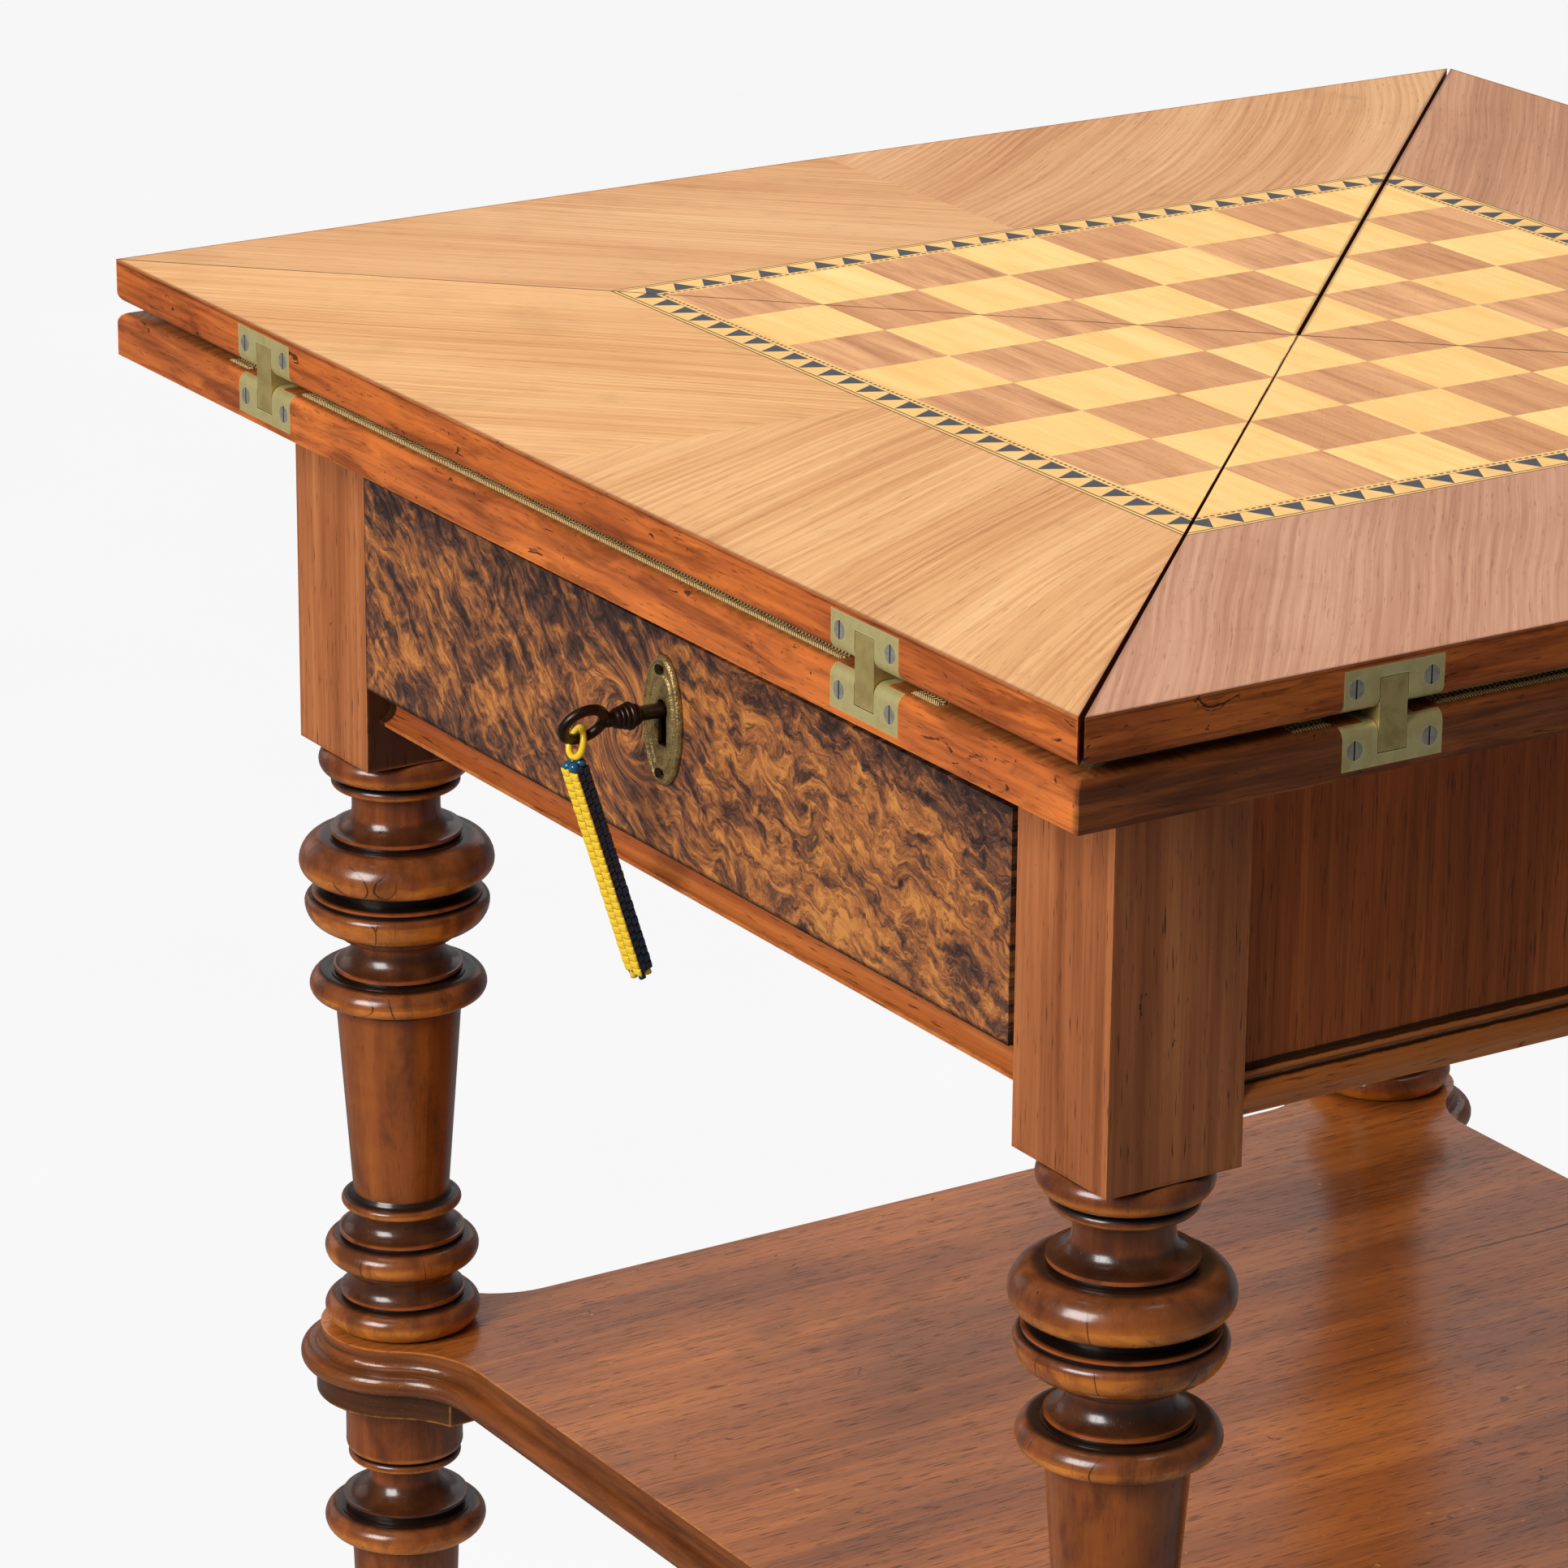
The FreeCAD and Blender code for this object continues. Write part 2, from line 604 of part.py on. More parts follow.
def plate(name, z_face, up):
    """Edge plate with its knuckle block; z_face is the surface towards the other plate."""
    lo, hi = (z_face, z_face + plate_h) if up else (z_face - plate_h, z_face)
    b = body(name + "_body")
    w, k = plate_l / 2, block_w / 2
    y0, y1, y2 = -half, -half + plate_t, -half + block_d
    s = sketch(b, name + "_section", "XY_Plane", [[(-w, y0, 0), (w, y0, 0), (w, y1, 0), (k, y1, 0), (k, y2, 0), (-k, y2, 0), (-k, y1, 0), (-w, y1, 0)]], lo)
    pad(b, name + "_pad", s, plate_h)
    if up:
        sl = box(name + "_slot", -slot_w / 2, slot_w / 2, -half - 1, -half + slot_d, lo - 1, lo + slot_h)
    else:
        sl = box(name + "_slot", -slot_w / 2, slot_w / 2, -half - 1, -half + slot_d, hi - slot_h, hi + 1)
    pz = pin_zb if up else pin_za
    sl = fuse(name + "_slot_room", [sl, cyl(name + "_slot_end", -slot_w / 2, pin_y, pz, slot_r, slot_w, "x")])
    bore = cyl(name + "_bore", -block_w, pin_y, pz, pin_r + pin_fit, block_w * 2, "x")
    return cut(name + "_drilled", b, fuse(name + "_tools", [sl, bore]))


def screw(name, z):
    out = []
    for s in (-1, 1):
        h = cyl("%s_head_%d" % (name, s + 1), screw_x * s, -half, z, head_r, head_h, "y")
        k = cyl("%s_shank_%d" % (name, s + 1), screw_x * s, -half, z, shank_r, screw_l, "y")
        out.append(fuse("%s_%d" % (name, s + 1), [h, k]))
    return out


def slotted(name, screws, z):
    out = []
    for i, s in enumerate(screws):
        x = screw_x * (-1 if i == 0 else 1)
        c = box("%s_groove_%d" % (name, i), x - slot_cut / 2, x + slot_cut / 2, -half - 1, -half + 0.7, wrap(z) - head_r - 1, wrap(z) + head_r + 1)
        out.append(cut("%s_cut_%d" % (name, i), s, c))
    return out


def shifted(name, src, x):
    o = doc.addObject("Part::Compound", name)
    o.Links = [src]
    place(o, x, 0.0, 0.0)
    return o


def pair(name, src):
    return group(name, [shifted(name + "_a", src, -hinge_x), shifted(name + "_b", src, hinge_x)])


leaf_screw_z = leaf_b + plate_h * 0.56
base_screw_z = base_top_z - plate_h * 0.56
leaf_scr = screw("leaf_screw", leaf_screw_z)
base_scr = screw("base_screw", base_screw_z)
leaf_scr_g = group("leaf_screw_blanks", leaf_scr)
base_scr_g = group("base_screw_blanks", base_scr)
leaf_blank = cut("leaf_plate_blank", plate("leaf_plate", leaf_b, True), fuse("leaf_plate_holes", leaf_scr))
base_blank = cut("base_plate_blank", plate("base_plate", base_top_z, False), fuse("base_plate_holes", base_scr))
leaf_screws = pair("leaf_screws_front", group("leaf_screw_pair", slotted("leaf_screw", leaf_scr, leaf_screw_z)))
base_screws = pair("base_screws_front", group("base_screw_pair", slotted("base_screw", base_scr, base_screw_z)))

# link: round on the pins at the back, a flush square-ended face outwards
link_bar = box("link_bar", -link_w / 2, link_w / 2, -half + 0.05, pin_y + link_in, pin_za + 0.8, pin_zb - 0.8)
link_face = box("link_face", -link_w / 2, link_w / 2, -half + 0.05, pin_y, pin_za - link_r, pin_zb + link_r)
link_parts = [link_bar, link_face]
for n, z in (("low", pin_za), ("top", pin_zb)):
    link_parts.append(cyl("link_end_" + n, -link_w / 2, pin_y, z, link_r, link_w, "x"))
    link_parts.append(cyl("link_pin_" + n, -pin_l / 2, pin_y, z, pin_r, pin_l, "x"))
link = fuse("link_one", link_parts)
links = pair("links_front_pair", link)

# ================================================================ top
base = body("base_body")
sk = sketch(base, "base_square", "XY_Plane", [rect(-half, half, -half, half)], base_bot)
f = pad(base, "base_slab", sk, base_t)
zt = base_top_z.v
f = round_edges(base, "base_round", f, lambda e: abs(e.BoundBox.ZMin - zt) < 1e-6, edge_r)
ci = half - cloth_in
sk = sketch(base, "base_recess", "XY_Plane", [rect(-ci, ci, -ci, ci)], base_top_z)
f = pocket(base, "base_baize_recess", sk, cloth_t)


def flush(name, blank, wood):
    """The plate takes the rounded edge of the wood that it is let into."""
    o = doc.addObject("Part::Common", name)
    o.Base = blank
    o.Tool = wood
    return o


base_plates = pair("base_plates_front", flush("base_plate", base_blank, base))

def mortise_shape(name, lo, hi):
    w, k = plate_l / 2, block_w / 2
    a = box(name + "_flange", -w, w, -half - 1, -half + plate_t, lo, hi)
    b = box(name + "_block", -k, k, -half - 1, -half + block_d, lo, hi)
    return fuse(name, [a, b])


base_mort = mortise_shape("base_mortise", base_top_z - plate_h, base_top_z + 1)
base_tool = pair("base_mortise_pair", fuse("base_mortise_full", [base_mort] + base_scr))
base_tools = around("base_mortise_set", base_tool)
pivot_hole = cyl("pivot_hole", 0.0, 0.0, base_bot - 1, bolt_r, base_t + 2)
pivot_sink = cyl("pivot_sink", 0.0, 0.0, base_top_z - cloth_t - bolt_hh, bolt_head, bolt_hh + 2)
node("base_top", cut("base_top", base, fuse("base_cuts", list(base_tools.values()) + [pivot_hole, pivot_sink])))
node("base_baize", box("base_baize", -ci, ci, -ci, ci, base_top_z - cloth_t, base_top_z))
bo = half - braid_in
bi = bo - braid_w


def braid_gaps(name, lo, hi):
    """Where no braid is laid along the front edge: at both hinges and towards the corners."""
    out = []
    for i, (x0, x1) in enumerate(((-half, -braid_end), (-hinge_x - braid_gap, -hinge_x + braid_gap), (hinge_x - braid_gap, hinge_x + braid_gap), (braid_end, half))):
        out.append(box("%s_%d" % (name, i), x0, x1, -half, -bi + 0.5, lo, hi))
    return fuse(name, out)


braid_out = box("base_braid_out", -bo, bo, -bo, bo, base_top_z, base_top_z + braid_t)
braid_inn = box("base_braid_in", -bi, bi, -bi, bi, base_top_z - 1, base_top_z + braid_t + 1)
base_gaps = around("base_braid_gaps", braid_gaps("base_braid_gap", base_top_z - 1, base_top_z + braid_t + 1))
node("base_braid", cut("base_braid", braid_out, fuse("base_braid_cuts", [braid_inn] + list(base_gaps.values()))))
node("base_hinge_plates", group("base_hinge_plates", list(around("base_plates", base_plates).values())))
node("base_hinge_screws", group("base_hinge_screws", list(around("base_screws", base_screws).values())))

head = cyl("pivot_head", 0.0, 0.0, base_top_z - cloth_t - bolt_hh, bolt_head, bolt_hh)
shank = cyl("pivot_shank", 0.0, 0.0, bolt_end, bolt_r, base_top_z - cloth_t - bolt_end)
washer_z = frame_top - bear_t - 0.5 - wash_t
pivot = fuse("pivot_one", [head, shank])
washer = cut("pivot_washer", cyl("pivot_washer_disc", 0.0, 0.0, washer_z, wash_r, wash_t), cyl("pivot_washer_hole", 0.0, 0.0, washer_z - 1, bolt_r, wash_t + 2))
prism = doc.addObject("Part::Prism", "pivot_nut_hex")
prism.Polygon = 6
bind(prism, "Circumradius", nut_r)
bind(prism, "Height", nut_h)
place(prism, 0.0, 0.0, washer_z - nut_h)
nut = cut("pivot_nut", prism, cyl("pivot_nut_hole", 0.0, 0.0, washer_z - nut_h - 1, bolt_r, nut_h + 2))
node("pivot_bolt", group("pivot_bolt", [pivot, washer, nut]))

# ================================================================ leaves
sd = seam * 1.41421356
sn = seam_n * 1.41421356
sw = seam_w * 1.41421356
zb, yb = leaf_b.v, -half.v


def tri(dy, dg):
    """Triangle set in by dy from the long edge and by dg, square to the seams, from the two others."""
    d = sd + wrap(dg) * 1.41421356
    y = -half + dy
    w = -y - d
    return [(-w, y, 0), (w, y, 0), (0.0, -d, 0)]


def leaf_board(name, corner, apex):
    """Triangular board: a hairline seam on its left, an open one on its right."""
    b = body(name + "_body")
    k = sketch(b, name + "_outline", "XY_Plane", [[(-(half - sn), -half, 0), (corner, -half, 0), apex]], leaf_b)
    e = pad(b, name + "_slab", k, leaf_t)
    round_edges(b, name + "_round", e, lambda e: abs(e.BoundBox.ZMax - zb) < 1e-6 and abs(e.BoundBox.ZMin - zb) < 1e-6 and abs(e.BoundBox.YMax - yb) < 1e-6, edge_r)
    k = sketch(b, name + "_recess_outline", "XY_Plane", [tri(cloth_in, cloth_dg)], leaf_b)
    pocket(b, name + "_recess", k, cloth_t, True)
    doc.recompute()
    return b


# towards the nearest corner the seam closes to a hairline at the middle, towards the far corner it stays open
leaf = leaf_board("leaf", half - sw, (0.0, -sn, 0))
leaf_far = leaf_board("leaf_far", half - sd, ((sn - sd) / 2, -(sn + sd) / 2, 0))
leaf_plates = pair("leaf_plates_front", flush("leaf_plate", leaf_blank, leaf))
leaf_mort = mortise_shape("leaf_mortise", leaf_b - 1, leaf_b + plate_h)
leaf_tool = pair("leaf_mortise_pair", fuse("leaf_mortise_full", [leaf_mort] + leaf_scr))
leaf_panel = cut("leaf_panel", leaf, leaf_tool)
leaf_panel_far = cut("leaf_panel_far", leaf_far, leaf_tool)

cloth = body("leaf_baize_body")
sk = sketch(cloth, "leaf_baize_outline", "XY_Plane", [tri(cloth_in, cloth_dg)], leaf_b)
pad(cloth, "leaf_baize_pad", sk, cloth_t)
edge = body("leaf_braid_body")
k = braid_w * 0.35
sk = sketch(edge, "leaf_braid_outline", "XY_Plane", [tri(braid_in, cloth_dg - k), tri(braid_in + braid_w, cloth_dg - k + braid_w)], leaf_b)
pad(edge, "leaf_braid_pad", sk, braid_t, True)
leaf_edge = cut("leaf_braid_lengths", edge, braid_gaps("leaf_braid_gap", leaf_b - braid_t - 1, leaf_b + 1))
doc.recompute()

panels = {"front": leaf_panel, "left": mirror("leaf_panel_left", leaf_panel_far, 1, -1), "right": mirror("leaf_panel_right", leaf_panel, 1, 1)}
panels["back"] = mirror("leaf_panel_back", panels["left"], 1, 1)
for where, o in panels.items():
    node("leaf_%s_panel" % where, o)
for name, src in (("baize", cloth), ("braid", leaf_edge), ("hinge_plates", leaf_plates), ("hinge_screws", leaf_screws)):
    for where, o in around("leaf_" + name, src).items():
        node("leaf_%s_%s" % (where, name), o)
for where, o in around("links", links).items():
    node("links_%s" % where, o)

# ================================================================ drawer
front_y = -fh
back_y = front_y + dr_ft
# the front hangs a little low at its right end, so the gap above it opens there
panel = body("drawer_front_body")
sk = sketch(panel, "drawer_front_outline", "XZ_Plane", [[(-dr_l, dr_b, 0), (dr_r, dr_b, 0), (dr_r, dr_t - dr_sag, 0), (-dr_l, dr_t, 0)]], -back_y)
pad(panel, "drawer_front_panel", sk, dr_ft)
doc.recompute()
case_box = box("lock_mortise", -case_w, case_w, back_y - case_d, back_y + 1, case_b, dr_t + 1)
hole_round = cyl("keyhole_round", 0.0, front_y - 10, key_z, hole_r, 30.0, "y")
hole_slot = box("keyhole_slot", -hole_w / 2, hole_w / 2, front_y - 10, front_y + 20, hole_b, key_z)
keyhole = fuse("keyhole", [hole_round, hole_slot])
groove = box("drawer_front_groove", -dr_l + dr_sg + dr_st - dr_bg, dr_r - dr_sg - dr_st + dr_bg, back_y - 6, back_y + 1, dr_bt, dr_bt + dr_bh)
esc_pins = []
for i, s in enumerate((-1, 1)):
    esc_pins.append(fuse("escutcheon_pin_%d" % i, [
        cyl("escutcheon_nail_%d" % i, 0.0, front_y - esc_t, esc_z + esc_pin * s, wrap(0.9), esc_t + 6, "y"),
        cyl("escutcheon_head_%d" % i, 0.0, front_y - esc_t - 0.5, esc_z + esc_pin * s, pin_head, wrap(0.5), "y")]))
pins_fused = fuse("escutcheon_pin_holes", esc_pins)
node("drawer_front", cut("drawer_front", panel, fuse("drawer_front_cuts", [case_box, keyhole, groove, pins_fused])))

bottom = box("drawer_bottom", -dr_l + dr_sg + dr_st - dr_bg, dr_r - dr_sg - dr_st + dr_bg, back_y - 6, dr_back - 6, dr_bt, dr_bt + dr_bh)
node("drawer_bottom", bottom)
node("drawer_side_left", cut("drawer_side_left", box("drawer_left_board", -dr_l + dr_sg, -dr_l + dr_sg + dr_st, back_y, dr_back, dr_sb, dr_sh), bottom))
node("drawer_side_right", cut("drawer_side_right", box("drawer_right_board", dr_r - dr_sg - dr_st, dr_r - dr_sg, back_y, dr_back, dr_sb, dr_sh), bottom))
node("drawer_back", box("drawer_back", -dr_l + dr_sg + dr_st, dr_r - dr_sg - dr_st, dr_back - 6 - dr_st, dr_back - 6, dr_bt + dr_bh, dr_kh))

case_y = back_y - case_d
case_blank = box("lock_case_blank", -case_w, case_w, case_y, back_y, case_b, case_t)
by0 = bolt_y0 - 0.4
bolt_room = box("lock_bolt_room", -bolt_w - 0.4, bolt_w + 0.4, by0, bolt_y0 + bolt_th + 0.4, bolt_low - 0.5, case_t + 1)
bit_room = cyl("lock_bit_room", 0.0, case_y + 1.5, key_z, wrap(12.3), case_d - 3.0, "y")
node("lock_case", cut("lock_case", case_blank, fuse("lock_case_cuts", [bolt_room, bit_room, keyhole])))
node("lock_bolt", box("lock_bolt", -bolt_w, bolt_w, bolt_y0, bolt_y0 + bolt_th, bolt_low, case_t - 0.3))

# escutcheon: an oval dome, thinner towards its rim
upright = Rotation(Vector(0, 0, 1), Vector(1, 0, 0), Vector(0, 1, 0), "XYZ")
rims = []
for i, (off, shrink) in enumerate(((0.0, 0.0), (0.9, 0.2), (2.0, 1.1), (2.6, 2.4))):
    e1 = doc.addObject("Part::Ellipse", "escutcheon_ring_%d" % i)
    bind(e1, "MajorRadius", esc_a - shrink)
    bind(e1, "MinorRadius", esc_b - shrink)
    place(e1, 0.0, front_y - esc_t * (off / 2.6), esc_z, upright)
    rims.append(e1)
loft = doc.addObject("Part::Loft", "escutcheon_dome")
loft.Sections = rims
loft.Solid = True
loft.Ruled = True
node("escutcheon", cut("escutcheon", loft, fuse("escutcheon_cuts", [keyhole, pins_fused])))
node("escutcheon_pins", group("escutcheon_pins", esc_pins))

# key: shank with collars, ring bow and bit
parts = [cyl("key_shank", 0.0, front_y - key_bow + bow_r1 - 0.5, key_z, key_r, key_bow - bow_r1 + 0.5 + key_in, "y")]
for i, (d, r, w) in enumerate(((11.6, 3.6, 1.2), (12.9, 4.6, 1.6), (14.6, 4.3, 1.2), (16.0, 3.8, 1.2), (17.5, 3.3, 1.2), (19.0, 3.0, 1.2))):
    parts.append(cyl("key_collar_%d" % i, 0.0, front_y - d - w, key_z, wrap(r), wrap(w), "y"))
bow = doc.addObject("Part::Torus", "key_bow")
bind(bow, "Radius1", bow_r1)
bind(bow, "Radius2", bow_r2)
place(bow, 0.0, front_y - key_bow, key_z, Rotation(Vector(0, 1, 0), -bow_turn.v))
parts.append(bow)
bit = doc.addObject("Part::Box", "key_bit")
bind(bit, "Length", wrap(10.0))
bind(bit, "Width", wrap(5.0))
bind(bit, "Height", wrap(2.0))
turn = Rotation(Vector(0, 1, 0), -bow_turn.v + 180.0)
place(bit, 0.0, case_y + 2.4, key_z, turn)
bit.Placement = Placement(Vector(0, (case_y + 2.4).v, key_z.v) + turn.multVec(Vector(1.0, 0, -1.0)), turn)
parts.append(bit)
node("key", fuse("key", parts))

# lace loop round the lowest strand of the bow, and the braided fob that slides round the loop
turned = Rotation(Vector(0, 1, 0), -bow_turn.v)
hang = Vector(0, (front_y - key_bow).v, key_z.v) + turned.multVec(Vector(-bow_r1.v, 0, 0))
loop_tilt = Rotation(Vector(1, 0, 0), loop_lean.v)
bar_tilt = Rotation(Vector(1, 0, 0), fob_lean.v)
loop_down = loop_tilt.multVec(Vector(0, 0, -1))
bar_down = bar_tilt.multVec(Vector(0, 0, -1))
eye = hang + loop_down * loop_drop.v
neck = hang + loop_down * fob_top.v
ring_turn = loop_tilt.multiply(Rotation(Vector(1, 0, 0), 90))


def ring(name, thick):
    o = doc.addObject("Part::Torus", name)
    bind(o, "Radius1", loop_r1)
    bind(o, "Radius2", thick)
    o.Placement = Placement(eye, ring_turn)
    return o


node("key_loop", ring("key_loop", loop_r2))
bar = doc.addObject("Part::Box", "fob_bar")
bind(bar, "Length", fob_s)
bind(bar, "Width", fob_s)
bind(bar, "Height", fob_l)
bar.Placement = Placement(neck + bar_down * fob_l.v + bar_tilt.multVec(Vector(-fob_s.v / 2, -fob_s.v / 2, 0)), bar_tilt)
node("fob", cut("fob", bar, ring("fob_groove", loop_r2 + loop_fit)))

# ================================================================ check and write
doc.recompute()
bad = []
for o in doc.Objects:
    if any(s in ("Invalid", "Error") for s in o.State):
        bad.append("%s %s" % (o.Name, o.State))
for name, o in nodes.items():
    s = o.Shape
    if s.isNull() or not s.isValid() or not s.Solids:
        bad.append("%s shape" % name)
if bad:
    raise RuntimeError("; ".join(bad))
os.makedirs("parts", exist_ok=True)
for name, o in nodes.items():
    o.Shape.exportStep("parts/%s.step" % name)
print(len(nodes), "nodes")
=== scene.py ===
import bpy
import bmesh
import math
from mathutils import Matrix, Vector


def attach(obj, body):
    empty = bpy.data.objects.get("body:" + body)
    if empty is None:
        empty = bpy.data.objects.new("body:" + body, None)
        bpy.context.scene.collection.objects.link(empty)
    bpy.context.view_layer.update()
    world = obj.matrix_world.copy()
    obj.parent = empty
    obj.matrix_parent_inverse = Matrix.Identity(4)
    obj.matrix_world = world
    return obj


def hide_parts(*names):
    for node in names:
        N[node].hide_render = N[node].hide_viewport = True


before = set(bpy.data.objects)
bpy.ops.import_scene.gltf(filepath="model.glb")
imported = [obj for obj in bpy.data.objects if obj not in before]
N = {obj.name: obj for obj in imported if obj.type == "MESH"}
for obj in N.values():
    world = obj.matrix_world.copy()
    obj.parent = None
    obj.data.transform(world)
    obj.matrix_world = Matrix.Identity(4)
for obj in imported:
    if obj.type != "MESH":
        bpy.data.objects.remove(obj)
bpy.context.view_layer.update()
scene = bpy.context.scene
scene.view_settings.view_transform = "Standard"
SIDES = ("front", "right", "back", "left")


TONE = [1.0, 1.0, 1.0]


def lin(r, g, b):
    """A colour given in 0 to 255 display values, as linear light in the tone of the piece of wood in hand."""
    f = lambda c: c / 12.92 if c <= 0.04045 else ((c + 0.055) / 1.055) ** 2.4
    return tuple(min(1.0, f(c / 255) * k) for c, k in zip((r, g, b), TONE)) + (1.0,)


def tone(k, make, *a, **kw):
    TONE[:] = k
    made = make(*a, **kw)
    TONE[:] = [1.0, 1.0, 1.0]
    return made


# ------------------------------------------------------------------ node helper
class Tree:
    def __init__(self, name):
        self.mat = bpy.data.materials.new(name)
        self.mat.use_nodes = True
        self.nt = self.mat.node_tree
        self.nt.nodes.clear()
        self.out = self.new("ShaderNodeOutputMaterial")
        self.b = self.new("ShaderNodeBsdfPrincipled")
        self.nt.links.new(self.b.outputs[0], self.out.inputs[0])
        self.tc = self.new("ShaderNodeTexCoord")
        n = self.new("ShaderNodeVectorMath")
        n.operation = "SCALE"
        self.nt.links.new(self.tc.outputs["Object"], n.inputs[0])
        n.inputs["Scale"].default_value = 1000.0
        self.p = n.outputs[0]                     # millimetres in the table's frame
        self.x, self.y, self.z = self.sep(self.p)

    def new(self, kind):
        return self.nt.nodes.new(kind)

    def put(self, socket, v):
        if isinstance(v, bpy.types.NodeSocket):
            self.nt.links.new(v, socket)
        else:
            socket.default_value = v

    def m(self, op, a, b=None, c=None, clamp=False):
        n = self.new("ShaderNodeMath")
        n.operation = op
        n.use_clamp = clamp
        for i, v in enumerate((a, b, c)):
            if v is not None:
                self.put(n.inputs[i], v)
        return n.outputs[0]

    def add(self, *v):
        r = v[0]
        for q in v[1:]:
            r = self.m("ADD", r, q)
        return r

    def mul(self, *v):
        r = v[0]
        for q in v[1:]:
            r = self.m("MULTIPLY", r, q)
        return r

    def sub(self, a, b):
        return self.m("SUBTRACT", a, b)

    def gt(self, a, b):
        return self.m("GREATER_THAN", a, b)

    def sep(self, v):
        n = self.new("ShaderNodeSeparateXYZ")
        self.put(n.inputs[0], v)
        return n.outputs[0], n.outputs[1], n.outputs[2]

    def vec(self, x, y, z):
        n = self.new("ShaderNodeCombineXYZ")
        for i, v in enumerate((x, y, z)):
            self.put(n.inputs[i], v)
        return n.outputs[0]

    def noise(self, v, detail=3.0, rough=0.5, dist=0.0, scale=1.0, color=False):
        n = self.new("ShaderNodeTexNoise")
        self.put(n.inputs["Vector"], v)
        n.inputs["Scale"].default_value = scale
        n.inputs["Detail"].default_value = detail
        n.inputs["Roughness"].default_value = rough
        n.inputs["Distortion"].default_value = dist
        return n.outputs["Color" if color else "Fac"]

    def cells(self, v, scale=1.0, feature="F1", out="Distance", rand=1.0):
        n = self.new("ShaderNodeTexVoronoi")
        n.feature = feature
        self.put(n.inputs["Vector"], v)
        n.inputs["Scale"].default_value = scale
        n.inputs["Randomness"].default_value = rand
        return n.outputs[out]

    def rng(self, v, a, b, c=0.0, d=1.0, smooth=True):
        n = self.new("ShaderNodeMapRange")
        n.interpolation_type = "SMOOTHSTEP" if smooth else "LINEAR"
        n.clamp = True
        for i, q in enumerate((v, a, b, c, d)):
            self.put(n.inputs[i], q)
        return n.outputs[0]

    def mix(self, f, a, b, mode="MIX"):
        n = self.new("ShaderNodeMix")
        n.data_type = "RGBA"
        n.blend_type = mode
        self.put(n.inputs[0], f)
        self.put(n.inputs[6], a)
        self.put(n.inputs[7], b)
        return n.outputs[2]

    def ramp(self, f, stops):
        n = self.new("ShaderNodeValToRGB")
        r = n.color_ramp
        while len(r.elements) < len(stops):
            r.elements.new(0.5)
        for e, (p, c) in zip(r.elements, stops):
            e.position = p
            e.color = c
        self.put(n.inputs[0], f)
        return n.outputs[0]

    def hollow(self, reach, inside=False):
        """1 in the open, towards 0 in grooves and corners."""
        n = self.new("ShaderNodeAmbientOcclusion")
        n.samples = 6
        n.inside = inside
        n.only_local = True
        n.inputs["Distance"].default_value = reach
        return n.outputs["AO"]

    def edge(self, radius):
        """0 on flat faces, towards 1 within radius of a sharp edge."""
        n = self.new("ShaderNodeBevel")
        n.samples = 4
        n.inputs["Radius"].default_value = radius
        g = self.new("ShaderNodeNewGeometry")
        d = self.new("ShaderNodeVectorMath")
        d.operation = "DOT_PRODUCT"
        self.nt.links.new(n.outputs[0], d.inputs[0])
        self.nt.links.new(g.outputs["Normal"], d.inputs[1])
        return self.rng(d.outputs["Value"], 0.999, 0.86)

    def bands(self, v, spans, soft):
        """1 inside each span of v, fading over soft outside it."""
        r = None
        for lo, hi in spans:
            q = self.mul(self.rng(v, lo - soft, lo), self.rng(v, hi, hi + soft, 1.0, 0.0))
            r = q if r is None else self.m("MAXIMUM", r, q)
        return r

    def bump(self, h, strength=1.0, distance=0.001):
        n = self.new("ShaderNodeBump")
        n.inputs["Strength"].default_value = strength
        n.inputs["Distance"].default_value = distance
        self.put(n.inputs["Height"], h)
        return n.outputs[0]

    def finish(self, color, rough, normal=None, metal=None, coat=0.0, coat_rough=0.1, spec=0.5, **more):
        b = self.b
        self.put(b.inputs["Base Color"], color)
        self.put(b.inputs["Roughness"], rough)
        b.inputs["Specular IOR Level"].default_value = spec
        if normal is not None:
            self.put(b.inputs["Normal"], normal)
        if metal is not None:
            b.inputs["Metallic"].default_value = metal
        self.put(b.inputs["Coat Weight"], coat)
        b.inputs["Coat Roughness"].default_value = coat_rough
        for k, v in more.items():
            self.put(b.inputs[k.replace("_", " ")], v)
        return self.mat


def assign(mat, *names):
    for n in names:
        o = N[n] if isinstance(n, str) else n
        o.data.materials.clear()
        o.data.materials.append(mat)


# ------------------------------------------------------------------ woods
def grain(t, along, a, b, seed=0.0, fine=1.0):
    """Broad figure, streaks, fine lines and pores of straight-grained wood, each 0 to 1."""
    broad = t.noise(t.vec(t.mul(along, 0.004), t.mul(a, 0.028), t.add(t.mul(b, 0.028), seed)), 3, 0.5, 0.5)
    streak = t.noise(t.vec(t.mul(along, 0.007), t.mul(a, 0.30 * fine), t.add(t.mul(b, 0.30 * fine), seed)), 5, 0.62, 0.35)
    lines = t.noise(t.vec(t.mul(along, 0.022), t.mul(a, 1.3 * fine), t.add(t.mul(b, 1.3 * fine), seed)), 3, 0.6, 0.1)
    pores = t.noise(t.vec(t.mul(along, 0.085), t.mul(a, 1.15 * fine), t.add(t.mul(b, 1.15 * fine), seed)), 2, 0.5)
    return broad, streak, lines, pores


def marks(t, size, amount, seed=0.0):
    """Scattered dents and stains: 1 at a mark."""
    n = t.noise(t.vec(t.mul(t.x, 1 / size), t.add(t.mul(t.y, 1 / size), seed), t.mul(t.z, 0.8 / size)), 3, 0.55, 0.6)
    return t.rng(n, amount, amount + 0.05)


